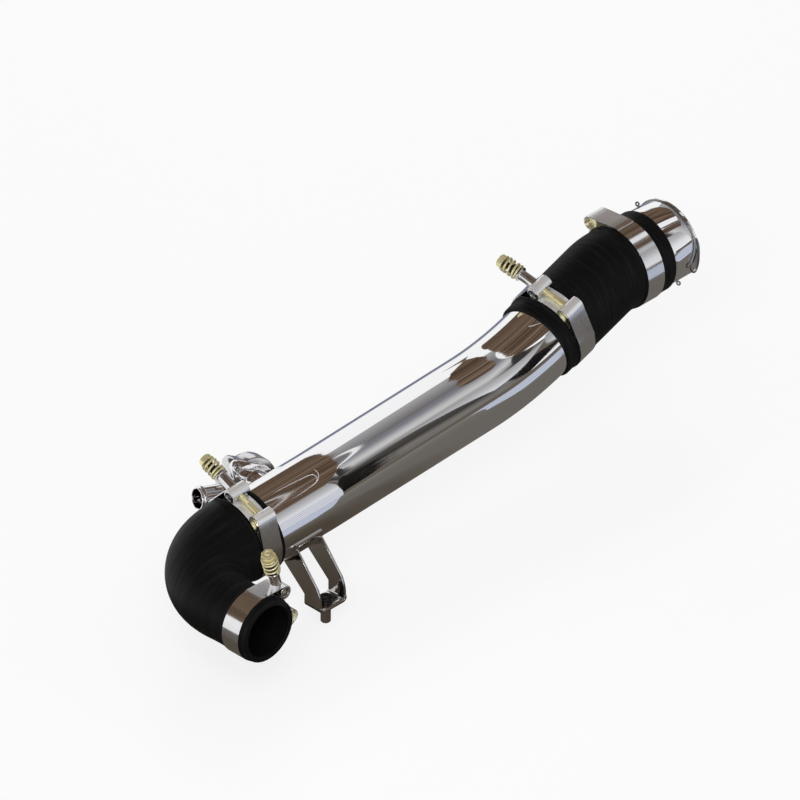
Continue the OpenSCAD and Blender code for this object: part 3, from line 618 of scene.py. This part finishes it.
def arc(centre, r, a, b, count):
    return [np.array(centre) + polar(r, a + (b - a) * i / count) for i in range(count + 1)]


def rounded(outline, radius, steps=3):
    """A closed outline with each corner rounded off by an arc that stays within its two sides."""
    outline = np.array(outline, float)
    out = []
    for p, here, q in zip(np.roll(outline, 1, 0), outline, np.roll(outline, -1, 0)):
        a, b = unit(p - here), unit(q - here)
        turn = math.acos(max(-1.0, min(1.0, a @ b)))
        if turn > math.radians(178):
            out.append(here)
            continue
        r = min(radius, 0.45 * min(np.linalg.norm(p - here), np.linalg.norm(q - here)) * math.tan(turn / 2))
        back = r / math.tan(turn / 2)
        centre = here + unit(a + b) * r / math.sin(turn / 2)
        start, stop = here + a * back - centre, here + b * back - centre
        sweep = math.atan2(start[0] * stop[1] - start[1] * stop[0], start @ stop)
        lean = math.atan2(start[1], start[0])
        out += arc(centre, math.hypot(*start), lean, lean + sweep, steps)
    return out


def unit_rows(v):
    return v / np.linalg.norm(v, axis=1)[:, None]


def swept_wire(name, path, radius, material, sides=16, closed=False):
    """A round wire along a path of points, with domed ends."""
    path = np.array(path, float)
    radii = np.ones(len(path))
    if not closed:
        dome = np.array([[0.38], [0.71], [0.92]]) * 0.9 * radius
        path = np.vstack([path[0] + unit(path[0] - path[1]) * dome[::-1], path,
                          path[-1] + unit(path[-1] - path[-2]) * dome])
        radii = np.concatenate([[0.39, 0.7, 0.92], radii, [0.92, 0.7, 0.39]])
    heads = np.roll(path, -1, 0) - np.roll(path, 1, 0)
    if not closed:
        heads[0], heads[-1] = path[1] - path[0], path[-1] - path[-2]
    side = np.cross(heads[0], (0.31, 0.2, 0.93))
    rows = []
    for p, d, k in zip(path, unit_rows(heads), radii):
        row, side = hoop(p, d, side, radius * k, sides)
        rows.append(row)
    return piece_of_grid(name, np.array(rows), material, not closed, 50)


def rolled_steel(name, color, rough, streaks, metallic=1):
    """Bright strip steel: fine lines along the strip, and a little wear in its gloss."""
    material, steel = new_material(name)
    fine = grain(steel, 1, 4, streaks)
    steel.feed("Principled BSDF", {
        "Base Color": tones(steel, fine, [(0.3, [c * 0.95 for c in color]), (0.7, color)]),
        "Metallic": metallic, "Roughness": steel.rescale(fine, 0.3, 0.7, rough * 0.9, rough * 1.15),
        "Normal": relief(steel, fine, 0.05, 0.000003)})
    return material


band_steel = rolled_steel("band_steel", (0.8, 0.8, 0.81), 0.13, (300, 900, 300))
# A paler, less metallic copy of the band steel: painted highlight on the loops' tops and on the bridge.
painted_highlight_steel = rolled_steel("painted_highlight_steel", (0.9, 0.9, 0.9), 0.24, (60, 60, 60), 0.6)
turned_steel = rolled_steel("turned_steel", (0.78, 0.78, 0.79), 0.16, (700, 700, 700))
wire_steel = rolled_steel("wire_steel", (0.3, 0.3, 0.31), 0.2, (900, 900, 900))
# A near-black steel that stands in for shade: painted shade in recesses and inside the springs.
painted_shade_steel = rolled_steel("painted_shade_steel", (0.035, 0.034, 0.033), 0.4, (500, 500, 500))

yellow_zinc, zinc = new_material("yellow_zinc")
cloud = grain(zinc, 110, 5)
zinc.feed("Principled BSDF", {
    "Base Color": tones(zinc, cloud, [(0.28, (0.84, 0.74, 0.42)), (0.62, (0.92, 0.86, 0.52))]),
    "Metallic": 0.75, "Roughness": zinc.rescale(cloud, 0, 1, 0.28, 0.38)})


def paint_shade(piece, dark):
    """Give the faces that dark picks out a near-black steel: painted shade where the piece lies in shadow."""
    piece.data.materials.append(painted_shade_steel)
    for face in piece.data.polygons:
        if dark(face):
            face.material_index = 1


class Clamp:
    """Places in a clamp's own frame: z is the band's axis, y points at the bolt, x at the nut."""

    def __init__(self, name, place, axis, nut_dir, hose_radius):
        self.name = name
        self.seat = seat(place, axis, nut_dir)
        self.hose = hose_radius
        self.band_in = hose_radius + BRIDGE_THICK + HOSE_GAP
        self.bolt_y = self.band_in + BOLT_RADIUS + 0.15
        reach = self.band_in + LOOP_RADIUS
        self.loop_x = math.sqrt(reach ** 2 - self.bolt_y ** 2)
        self.up = math.atan2(self.bolt_y, self.loop_x)
        self.pad_out = self.band_in + 2 * BAND_THICK + PAD_GAP
        self.leaf = self.up - math.acos((self.pad_out - LOOP_RADIUS) / reach)
        axes = self.seat[0]
        self.bolt_seat = (np.array([-axes[2], axes[1], axes[0]]),
                          placed([self.loop_x, self.bolt_y, 0], self.seat))


def thickened(piece, thick, edge):
    """Give a sheet its thickness, and ease its edges."""
    body = piece.modifiers.new("thickness", "SOLIDIFY")
    body.thickness = thick * MM
    body.offset = 0
    body.use_even_offset = True
    soft = piece.modifiers.new("eased_edges", "BEVEL")
    soft.width = edge * MM
    soft.segments = 2
    soft.limit_method = "ANGLE"
    soft.angle_limit = math.radians(50)
    return body, soft


def band_piece(c):
    """The strip: round the hose, round both loops and down to the pads, with a slot for the bolt."""
    half = BAND_THICK / 2
    right = arc((0, 0), c.band_in + half, -math.pi / 2, c.up, 54)
    right += arc((c.loop_x, c.bolt_y), LOOP_RADIUS - half, math.pi + c.up - 0.07, c.leaf, 30)
    foot = polar(c.pad_out - half, c.leaf)
    right += [right[-1] + (foot - right[-1]) * t for t in (0.25, 0.5, 0.75)]
    right += arc((0, 0), c.pad_out - half, c.leaf, c.leaf - PAD_ANGLE, 3)
    path = [p * (-1, 1) for p in reversed(right[1:])] + right
    slot = BOLT_RADIUS + 0.5
    dense = [path[0]]
    for p, q in zip(path, path[1:]):
        cuts = sorted((level - p[1]) / (q[1] - p[1]) for level in (c.bolt_y - slot, c.bolt_y + slot)
                      if (level - p[1]) * (level - q[1]) < 0)
        dense += [p + (q - p) * t for t in cuts] + [q]
    lanes = [-BAND_WIDTH / 2, -slot, slot, BAND_WIDTH / 2]
    points = [tuple(placed([*p, z], c.seat) * MM) for p in dense for z in lanes]
    faces, painted_highlight_faces = [], []
    for i, (p, q) in enumerate(zip(dense, dense[1:])):
        mid = (p + q) / 2
        in_slot = abs(mid[1] - c.bolt_y) < slot and mid[0] > -c.loop_x
        for lane in (0, 2) if in_slot else (0, 1, 2):
            faces.append((4 * i + lane, 4 * i + 4 + lane, 4 * i + 5 + lane, 4 * i + 1 + lane))
            painted_highlight_faces.append(int(np.hypot(*mid) > c.band_in + LOOP_RADIUS * LOOP_TOP))
    piece = shaded_piece(c.name + "_strip", points, faces, band_steel)
    # The loops' outer faces, beyond LOOP_TOP, get the pale steel: painted highlight.
    piece.data.materials.append(painted_highlight_steel)
    piece.data.polygons.foreach_set("material_index", painted_highlight_faces)
    thickened(piece, BAND_THICK, 0.16)[1].harden_normals = True
    fit(piece, "stainless_steel", c.name + "_band")


def bridge_piece(c):
    """The thin strip under the loops, with its two ends eased down to the hose."""
    spread = math.pi - 2 * c.up + math.radians(36)
    low, half, count = c.hose + 0.05, BAND_WIDTH / 2 - 1, 28
    rows = []
    for i in range(count + 1):
        ease = 0.15 if i in (0, count) else 0
        section = rounded(oblong(low + ease, low + BRIDGE_THICK - ease, -half, half), 0.15, 2)
        rows.append(ring(*np.array(section).T, math.pi / 2 + spread * (i / count - 0.5)))
    # The bridge gets the pale steel: painted highlight.
    piece = piece_of_grid(c.name + "_bridge_strip", placed(np.array(rows), c.seat), painted_highlight_steel, True, 40)
    fit(piece, "stainless_steel", c.name + "_bridge")


def trunnion_piece(c):
    """The cross bar that the nut pulls on: a thick tube with eased ends."""
    outline = rounded(oblong(BAR_BORE, BAR_RADIUS, -BAND_WIDTH / 2, BAND_WIDTH / 2), 0.5)
    bar = turned_piece(c.name + "_cross_bar", outline, shifted(c.seat, c.loop_x, c.bolt_y, 0),
                       turned_steel, 48)
    fit(bar, "stainless_steel", c.name + "_trunnion")


SLEEVE_REACH = 22.0
FLANGE_THICK = 1.5
FLANGE_TOP = SLEEVE_REACH + FLANGE_THICK
SLEEVE_RADIUS = 5.15
SPRING_RADIUS = 6.9
SPRING_LENGTH = 18.0
SPRING_WIRE = 2.2
SPRING_TURNS = 4
FLANGE_RADIUS = SPRING_RADIUS + 0.4
SPRING_FROM = FLANGE_TOP + HOSE_GAP
NUT_FROM = SPRING_FROM + SPRING_LENGTH + HOSE_GAP
NUT_HEIGHT = 4.6
NUT_FLATS = 11.1
BOLT_END = NUT_FROM + FLANGE_THICK + NUT_HEIGHT + 0.6


def t_bolt_piece(c):
    """A T-bolt: a smooth shank with a rolled thread to 12 mm inside the nut's loop, and a cross head."""
    span, pitch, depth, sides = 2 * c.loop_x, 1.0, 0.42, 28
    thread_from, point_from = -LOOP_RADIUS - 12, BOLT_END - 0.85
    places = [-span, -span * 0.66, -span * 0.5, thread_from - 0.6]
    places += list(np.arange(thread_from, BOLT_END - 0.9, pitch / 5))
    places += [BOLT_END - 0.8, BOLT_END - 0.4, BOLT_END]
    profile = []
    for z in places:
        r = BOLT_RADIUS - 0.04
        if thread_from <= z < point_from:
            lead = min(1, (z - thread_from) / 2, (point_from - z) / 1.2)
            turn = (z / pitch - np.arange(sides) / sides) % 1
            r = r - depth * max(0, lead) * abs(2 * turn - 1)
        elif z > point_from:
            r -= depth + 0.72 * smooth((z - point_from) / 0.85)
        profile.append((r, z))
    shank = turned_piece(c.name + "_shank", profile, c.bolt_seat, yellow_zinc, sides, 60, True)
    # The shank inside the spring gets the near-black steel: painted shade in the coil's gaps.
    paint_shade(shank, lambda face: SPRING_FROM < places[face.index // sides] < NUT_FROM)
    eased = [(0.5, 0), (0.15, 0.15), (0, 0.5)]
    outline = [(0.01, -HEAD_HALF)] + [(BAR_RADIUS - x, y - HEAD_HALF) for x, y in eased]
    outline += [(BAR_RADIUS - x, HEAD_HALF - y) for x, y in reversed(eased)] + [(0.01, HEAD_HALF)]
    head = turned_piece(c.name + "_cross_head", outline, shifted(c.seat, -c.loop_x, c.bolt_y, 0),
                        yellow_zinc, 40)
    fit(head, "yellow_zinc")
    fit(shank, "yellow_zinc", c.name + "_t_bolt")


def sleeve_piece(c):
    """The flanged spacer tube. Its end is cut on the slant to stand on the band's leaf."""
    bore, tail, sides = BOLT_RADIUS + HOSE_GAP, SPRING_FROM + 9, 48
    lean = np.sin(around(sides)) * math.sin(c.leaf)
    profile = [(r, (LOOP_RADIUS + HOSE_GAP - r * lean) / math.cos(c.leaf) + rise) for r, rise in (
        (bore, 0.25), (bore + 0.25, 0), (SLEEVE_RADIUS - 0.25, 0), (SLEEVE_RADIUS, 0.25))]
    profile += [(SLEEVE_RADIUS, SLEEVE_REACH - 0.5), (SLEEVE_RADIUS + 0.15, SLEEVE_REACH - 0.1),
                (SLEEVE_RADIUS + 0.5, SLEEVE_REACH), (FLANGE_RADIUS - 0.3, SLEEVE_REACH),
                (FLANGE_RADIUS, SLEEVE_REACH + 0.3), (FLANGE_RADIUS, FLANGE_TOP - 0.3),
                (FLANGE_RADIUS - 0.3, FLANGE_TOP)]
    plain = len(profile)
    profile += [(SLEEVE_RADIUS, FLANGE_TOP), (SLEEVE_RADIUS, tail - 0.3), (SLEEVE_RADIUS - 0.3, tail),
                (bore, tail)]
    piece = turned_piece(c.name + "_spacer", profile, c.bolt_seat, turned_steel, sides, 35)
    # The spacer's tail inside the spring gets the near-black steel: painted shade in the coil's gaps.
    paint_shade(piece, lambda face: face.index // sides >= plain)
    fit(piece, "stainless_steel", c.name + "_sleeve")


def spring_piece(c):
    """Four open turns of round wire, laid flatter at both ends."""
    t = np.linspace(0, 1, SPRING_TURNS * 28 + 1)
    rise = t - np.sin(2 * math.pi * t) / 2 / math.pi * 0.35
    path = ring(SPRING_RADIUS, SPRING_FROM + SPRING_WIRE / 2 + (SPRING_LENGTH - SPRING_WIRE) * rise,
                2 * math.pi * SPRING_TURNS * t)
    piece = swept_wire(c.name + "_coil", placed(path, c.bolt_seat), SPRING_WIRE / 2, yellow_zinc, 14)
    fit(piece, "yellow_zinc", c.name + "_spring")


def hexagon(flats, sides):
    """Radii of a hexagon, from its size across flats, at evenly spaced angles."""
    return flats / 2 / np.cos((around(sides) + math.pi / 6) % (math.pi / 3) - math.pi / 6)


def nut_piece(c):
    """A flanged hexagon nut with chamfered corners, screwed against the spring."""
    bore, top, corners = BOLT_RADIUS + 0.05, FLANGE_THICK + NUT_HEIGHT, hexagon(NUT_FLATS, 72)
    profile = [(bore, 0), (FLANGE_RADIUS - 0.3, 0), (FLANGE_RADIUS, 0.3), (FLANGE_RADIUS, FLANGE_THICK - 0.4)]
    profile += [(np.minimum(corners, NUT_FLATS / 2 - 0.15 + down * 1.7), top - down)
                for down in (NUT_HEIGHT, 1.3, 0.9, 0.5, 0.2, 0)]
    profile += [(BOLT_RADIUS + 0.45, top), (bore, top - 0.5)]
    piece = turned_piece(c.name + "_hexagon", [(r, NUT_FROM + z) for r, z in profile], c.bolt_seat,
                         yellow_zinc, 72, 28)
    fit(piece, "yellow_zinc", c.name + "_nut")


clamps = [
    Clamp("lower", rim_low + elbow_back * LOWER_BAND_AT, lower_dir, (-0.95, 0.047, 0.3), ELBOW_RADIUS),
    Clamp("outlet", rim_outlet - along_x * OUTLET_BAND_AT, -along_x, (0, -0.28, 0.96), OUTLET_RADIUS),
    Clamp("upper", rim_high + upper_dir * UPPER_BAND_AT, upper_dir, (-0.95, -0.15, 0.25), COUPLER_RADIUS),
    Clamp("connector", rim_connector - along_y * CONNECTOR_BAND_AT, along_y, (-0.326, 0, -0.946),
          COUPLER_RADIUS)]
for c in clamps:
    for make in (band_piece, bridge_piece, trunnion_piece, t_bolt_piece, sleeve_piece, spring_piece,
                 nut_piece):
        make(c)

# Quick connector: a turned and polished socket with a barbed tail in the hose. A lip seal sits in its
# inner groove, and a bent wire clip lies in its outer groove and ends in a flat handle.
COLLAR_RADIUS = 38.8
COLLAR_LENGTH = 31.5
TAIL_LENGTH = 46.0
SOCKET_RADIUS = 36.2
TAIL_BORE = 34.5
CLIP_AT = 28.0
CLIP_RADIUS = 0.9
SEAL_AT = 9.0
SEAL_WIDTH = 5.0
SEAL_DEPTH = 1.2
SEAL_LIP = 0.8
EYE_WIRE = 0.8
EYE_RADIUS = 1.7

connector = seat(rim_connector, along_y, (0, 0, 1))
groove, slot_half = COLLAR_RADIUS - CLIP_RADIUS, CLIP_RADIUS + HOSE_GAP
seal_groove = SOCKET_RADIUS + SEAL_DEPTH
tail_bead = [(PIPE_RADIUS + BEAD_HEIGHT * math.sin(math.pi * i / 8), BEAD_INSET - TAIL_LENGTH - 3 + 6 * i / 8)
             for i in range(9)]
collar_outline = [(TAIL_BORE, -TAIL_LENGTH), (PIPE_RADIUS - 0.3, -TAIL_LENGTH)] + tail_bead
collar_outline += rounded([
    (PIPE_RADIUS, -2), (PIPE_RADIUS, HOSE_GAP), (COLLAR_RADIUS, HOSE_GAP),
    (COLLAR_RADIUS, CLIP_AT - slot_half), (groove, CLIP_AT - slot_half), (groove, CLIP_AT + slot_half),
    (COLLAR_RADIUS, CLIP_AT + slot_half), (COLLAR_RADIUS, COLLAR_LENGTH),
    (SOCKET_RADIUS + 1.2, COLLAR_LENGTH), (SOCKET_RADIUS, COLLAR_LENGTH - 1.2),
    (SOCKET_RADIUS, SEAL_AT + SEAL_WIDTH), (seal_groove, SEAL_AT + SEAL_WIDTH), (seal_groove, SEAL_AT),
    (SOCKET_RADIUS, SEAL_AT), (SOCKET_RADIUS, 5), (TAIL_BORE, 5), (TAIL_BORE, 2)], 0.3)[4:-4]
collar = turned_piece("connector_socket", collar_outline, connector, polished_alloy, 144)
fit(collar, "polished_alloy", "connector_collar")

seal_rubber, rubber = new_material("seal_rubber")
rubber.feed("Principled BSDF", {
    "Base Color": tones(rubber, grain(rubber, 700, 2), fade((0.012, 0.012, 0.012), (0.03, 0.03, 0.03))),
    "Roughness": 0.62})

back_of_seal = seal_groove - HOSE_GAP / 2
seal = turned_piece("connector_lip_seal", rounded([
    (back_of_seal, SEAL_AT + 0.1), (back_of_seal, SEAL_AT + 4.9), (SOCKET_RADIUS, SEAL_AT + 4.9),
    (SOCKET_RADIUS - SEAL_LIP, SEAL_AT + 3.5), (SOCKET_RADIUS - SEAL_LIP, SEAL_AT + 1.5),
    (SOCKET_RADIUS, SEAL_AT + 0.1)], 0.3), connector, seal_rubber, 96)
fit(seal, "seal_rubber", "connector_seal")

clip_low, clip_high = COLLAR_RADIUS + HOSE_GAP, COLLAR_RADIUS + CLIP_RADIUS + HOSE_GAP
clip_marks = [(-125 + 183 * i / 26, CLIP_AT, clip_low) for i in range(27)]
clip_marks += [(66, 27.8, clip_high), (80, 24.5, clip_high), (96, 19, 40.6), (104, 18.2, 41.8),
               (110, 21, 42.8), (112, 25, 43), (104, 27.6, 41.6), (90, 29, 40.4), (76, 30.4, clip_high),
               (66, 30.2, clip_high)]


def smooth_path(marks, steps):
    """A curve through the marks, with a number of steps between each two."""
    marks = np.array(marks, float)
    last, out = len(marks) - 1, []
    for k in range(last):
        a, b, c, d = (marks[i] for i in (max(k - 1, 0), k, k + 1, min(k + 2, last)))
        out += [0.5 * (2 * b + (c - a) * t + (2 * a - 5 * b + 4 * c - d) * t * t
                       + (3 * b - a - 3 * c + d) * t ** 3) for t in np.arange(steps) / steps]
    return np.array(out + [marks[-1]])


turn, height, reach = smooth_path(clip_marks, 6).T
clip = swept_wire("spring_wire_clip", placed(ring(reach, height, np.radians(turn)), connector),
                  CLIP_RADIUS, wire_steel)
fit(clip, "spring_wire", "wire_clip")

for number, (angle, place) in enumerate(((-41, 16), (130, 11))):
    middle = COLLAR_RADIUS + EYE_RADIUS + EYE_WIRE + HOSE_GAP / 2
    loop = ring(middle + EYE_RADIUS * np.cos(around(40)), place + EYE_RADIUS * np.sin(around(40)),
                math.radians(angle))
    eye = swept_wire("wire_eye_%d" % (number + 1), placed(loop, connector), EYE_WIRE, wire_steel, 14, True)
    fit(eye, "spring_wire", "clip_eyes")

# Bracket: a bent steel channel whose two arms stand on a curved saddle brazed to the pipe. A headed
# stud goes through its plate and points down into the car's mounting.
BRACKET_WIDTH = 33.9
PLATE_THICK = 2.5
SADDLE_THICK = 2.4
BEND_OUT = 4.5
STUD_RADIUS = 4.85
BRACKET_LEFT, BRACKET_RIGHT = -11.2, 10.8
SHADE_HEIGHT = 6
SADDLE_AT = 30.7
SADDLE_TURN = np.radians(np.linspace(15, 67, 25))

bracket_steel = rolled_steel("bracket_steel", (0.7, 0.69, 0.68), 0.09, (60, 60, 60))
saddle_middle = rim_low + lower_dir * (SADDLE_AT / lower_dir[1])
half = BRACKET_WIDTH / 2
saddle_foot = PIPE_RADIUS + 0.05
radii, widths = np.array(rounded(oblong(saddle_foot, saddle_foot + SADDLE_THICK, -half, half), 0.5)).T
rows = [ring(radii, widths * (1 - (0.5 / half if turn in SADDLE_TURN[[0, -1]] else 0)), turn)
        for turn in SADDLE_TURN]
saddle = piece_of_grid("curved_saddle", placed(np.array(rows), seat(saddle_middle, lower_dir, along_x)),
                       bracket_steel, True, 40)
fit(saddle, "bright_steel", "saddle")


def crossing_angle(p, q, centre, r):
    """The angle, seen from a circle's centre, at which the line from p to q enters the circle."""
    d, f = np.subtract(q, p), np.subtract(p, centre)
    b, k = 2 * f @ d, f @ f - r * r
    x, y = f + d * (-b - math.sqrt(b * b - 4 * (d @ d) * k)) / (2 * (d @ d))
    return math.atan2(y, x)


inner = PLATE_THICK / 2
bend = BEND_OUT - inner
points, faces = [], []


def corner(x, y, z):
    points.append((x * MM, y * MM, z * MM))
    return len(points) - 1


arm_y = half - inner
bends = [(bend - arm_y - bend * math.cos(t), inner + bend - bend * math.sin(t))
         for t in (math.pi / 16 * i for i in range(9))]
pairs = [(corner(BRACKET_LEFT, y, z), corner(BRACKET_RIGHT, y, z))
         for y, z in bends + [(-y, z) for y, z in reversed(bends)]]
faces += [(*p, *reversed(q)) for p, q in zip(pairs, pairs[1:])]
reach = PIPE_RADIUS + SADDLE_THICK + HOSE_GAP
curve_side = arc((-26, 8), 36, math.radians(-3), math.radians(32), 10)
for foot, y in ((pairs[0], -arm_y), (pairs[-1], arm_y)):
    centre = (saddle_middle + lower_dir * (y / lower_dir[1]))[[0, 2]]
    top = arc(centre, reach, crossing_angle(curve_side[-1], (-21.9, 59), centre, reach),
              crossing_angle((BRACKET_LEFT, 13.8), (-40.2, 39.6), centre, reach), 10)
    side = [(BRACKET_RIGHT, 6)] + curve_side + top + [(BRACKET_LEFT, 13.8)]
    loop = [*foot] + [corner(x, y, z) for x, z in side]
    faces.append(tuple(reversed(loop) if y < 0 else loop))
bracket = shaded_piece("bent_bracket", points, faces, bracket_steel)
# The second slot and the solidify's material offset give the offset side's faces below SHADE_HEIGHT the
# near-black steel: painted shade low in the channel.
bracket.data.materials.append(bracket_steel)
paint_shade(bracket, lambda face: face.center.z < SHADE_HEIGHT * MM)
thickened(bracket, PLATE_THICK, 0.35)[0].material_offset = 1
fit(bracket, "bright_steel", "bracket")

stud_outline = rounded([
    (0.01, -20), (STUD_RADIUS - 1, -20), (STUD_RADIUS, -19), (STUD_RADIUS, 0.1), (STUD_RADIUS + 0.4, 0.1),
    (STUD_RADIUS + 0.4, 2.55), (6.75, 2.55), (6.75, 7.25), (5.75, 8.25), (0.01, 8.25)], 0.3, 2)
stud = turned_piece("bracket_pin", stud_outline, seat((0, 0, 0), (0, 0, 1), (1, 0, 0)), turned_steel, 64)
# The head above the plate gets the near-black steel: painted shade inside the channel.
paint_shade(stud, lambda face: face.center.z > PLATE_THICK * MM)
fit(stud, "bright_steel", "locating_stud")

# Side branch: a short stub brazed into the pipe, with a two-eared flange. A round housing is screwed
# to it over an O-ring; it has a pressed cover, and a beaded hose spigot leaves it sideways.
STUB_RADIUS = 12.0
STUB_BORE = 10.2
JOINT_REACH = 72.0
JOINT_THICK = 5.0
JOINT_RADIUS = 18.3
HOUSING_RADIUS = 23.8
HOUSING_DEPTH = 17.0
HOUSING_WALL = 2.4
EAR_RADIUS = 6.0
EAR_REACH = 29.0
SPIGOT_RADIUS = 11.0
SPIGOT_REACH = 56.0
SPIGOT_DROP = 11.5
EARS = math.radians(41), math.radians(221)
WELD_RADIUS = 1.15
SEAL_RING = 14.5
RING_WIRE = 1.3
SCREW_REACH = 14
BRANCH_AT = 44.3

branch_dir = unit((-0.94, 0.24, -0.22))
branch = seat(rim_low + lower_dir * BRANCH_AT, branch_dir, unit((-0.24, -0.95, 0.175)))
joint_face = JOINT_REACH + 0.05
housing_middle = joint_face + HOUSING_DEPTH / 2
housing_end = joint_face + HOUSING_DEPTH

cast_steel = rolled_steel("cast_steel", (0.7, 0.7, 0.71), 0.17, (420, 420, 420))


def eared_outline(r, ear_r):
    """A round flange with two ears on one line, joined to them by straight tangents."""
    out = []
    lean = math.acos((r - ear_r) / EAR_REACH)
    for ear in EARS:
        out += arc(polar(EAR_REACH, ear), ear_r, ear - lean, ear + lean, 14)
        out += arc((0, 0), r, ear + lean, ear + math.pi - lean, 13)[1:-1]
    return np.array(out)


def plate_piece(name, outline, low, high, at, material, edge=0.4):
    """A flat plate with eased edges, from an outline and two heights."""
    heads = unit_rows(np.roll(outline, -1, 0) - np.roll(outline, 1, 0))
    outward = np.stack([heads[:, 1], -heads[:, 0]], 1)
    eased = [(0, edge), (0.3 * edge, 0.3 * edge), (edge, 0)]
    levels = [(low + z, inset) for z, inset in eased] + [(high - z, inset) for z, inset in reversed(eased)]
    grid = np.array([[(*(p - n * inset), z) for p, n in zip(outline, outward)] for z, inset in levels])
    return piece_of_grid(name, placed(grid, at), material, True, 40)


pipe_axis = branch[0] @ lower_dir


def foot_height(r, turn, pipe_radius):
    """Height over the branch's root at which lines along the branch leave a cylinder round the pipe."""
    x, y = r * np.cos(turn), r * np.sin(turn)
    across = x * pipe_axis[0] + y * pipe_axis[1]
    a = 1 - pipe_axis[2] ** 2
    b = -2 * pipe_axis[2] * across
    k = x * x + y * y - across ** 2 - pipe_radius ** 2
    return (-b + np.sqrt(b * b - 4 * a * k)) / (2 * a)


joint_low = JOINT_REACH - JOINT_THICK
stub = turned_piece("stub_tube", [
    *((r, foot_height(r, around(96), PIPE_RADIUS + 0.05)) for r in (STUB_BORE, STUB_RADIUS)),
    (STUB_RADIUS, joint_low - 1.5), (STUB_RADIUS + 0.5, joint_low - 0.5), (STUB_RADIUS + 1.5, joint_low),
    (JOINT_RADIUS - 1, joint_low), (JOINT_RADIUS - 1, JOINT_REACH), (STUB_BORE, JOINT_REACH)],
    branch, polished_alloy, 96, 35)
fit(stub, "polished_alloy", "branch_stub")
flange = plate_piece("stub_flange", eared_outline(JOINT_RADIUS, EAR_RADIUS), joint_low, JOINT_REACH,
                     branch, polished_alloy)
fit(flange, "polished_alloy", "branch_stub")

turn = around(180)
weld_path = ring(STUB_RADIUS + 0.5, foot_height(
    STUB_RADIUS + 0.5, turn, PIPE_RADIUS + 0.35 + 0.12 * np.sin(36 * turn)), turn)
weld = swept_wire("stub_weld", placed(weld_path, branch), WELD_RADIUS, turned_steel, 12, True)
fit(weld, "bright_steel")

o_ring = swept_wire("joint_o_ring", placed(ring(SEAL_RING, joint_face + RING_WIRE, around(96)), branch),
                    RING_WIRE, seal_rubber, 14, True)
fit(o_ring, "seal_rubber", "branch_o_ring")

housing_in = HOUSING_RADIUS - HOUSING_WALL
drum = turned_piece("housing_drum", rounded([
    (STUB_BORE, joint_face), (HOUSING_RADIUS, joint_face), (HOUSING_RADIUS, housing_end),
    (housing_in, housing_end), (housing_in, joint_face + 4.5), (STUB_BORE, joint_face + 4.5)], 1.0, 4),
    branch, cast_steel, 96)
fit(drum, "bright_steel", "branch_housing")
ears = plate_piece("housing_ears", eared_outline(JOINT_RADIUS, EAR_RADIUS), joint_face, joint_face + 14,
                   branch, cast_steel, 0.8)
fit(ears, "bright_steel", "branch_housing")
spigot_seat = (np.array([-branch[0][2], branch[0][1], branch[0][0]]),
               placed([0, -SPIGOT_DROP, housing_middle], branch))
BOSS_FROM = HOUSING_RADIUS + 0.3
BOSS_TO = BOSS_FROM + 7
boss = turned_piece("housing_boss", rounded([
    (6, 12), (8, 12), (8, BOSS_FROM), (13.4, BOSS_FROM), (13.4, BOSS_TO), (SPIGOT_RADIUS + 0.1, BOSS_TO),
    (SPIGOT_RADIUS + 0.1, BOSS_TO - 5), (6, BOSS_TO - 5)], 0.8, 4), spigot_seat, cast_steel, 72)
fit(boss, "bright_steel", "branch_housing")

plug = housing_in - 0.05
cover = turned_piece("pressed_cover", rounded([
    (0.01, housing_end), (plug - 2.4, housing_end), (plug - 2.4, housing_end - 3), (plug, housing_end - 3),
    (plug, housing_end + 0.05), (HOUSING_RADIUS - 0.6, housing_end + 0.05),
    (HOUSING_RADIUS - 0.6, housing_end + 3.05), (0.01, housing_end + 3.05)], 0.9, 4),
    branch, polished_alloy, 96)
fit(cover, "polished_alloy", "branch_cover")

rim = [(SPIGOT_RADIUS - 0.7 + 2 * math.cos(t), SPIGOT_REACH - 4 + 2 * math.sin(t))
       for t in np.linspace(-1.21, 1.21, 9)]
spigot = turned_piece("hose_spigot", [
    (SPIGOT_RADIUS - 1.6, BOSS_TO - 4.95), (SPIGOT_RADIUS, BOSS_TO - 4.95)] + rim + [
    (SPIGOT_RADIUS, SPIGOT_REACH - 0.4), (SPIGOT_RADIUS - 0.4, SPIGOT_REACH),
    (SPIGOT_RADIUS - 1.2, SPIGOT_REACH), (SPIGOT_RADIUS - 1.6, SPIGOT_REACH - 0.4)],
    spigot_seat, polished_alloy, 72)
fit(spigot, "polished_alloy", "branch_spigot")

for number, ear in enumerate(EARS):
    low, key = joint_low - 0.05, hexagon(3.3, 48)
    screw = turned_piece("socket_screw_%d" % (number + 1), [
        (0.01, low + SCREW_REACH), (2, low + SCREW_REACH), (2, low), (3.3, low), (3.6, low - 0.3),
        (3.6, low - 2.2), (3.2, low - 2.6), (2, low - 2.6), (key, low - 2.5), (key, low - 1),
        (0.01, low - 1)],
        shifted(branch, *polar(EAR_REACH, ear), 0), turned_steel, 48, 35)
    fit(screw, "bright_steel", "branch_screws")
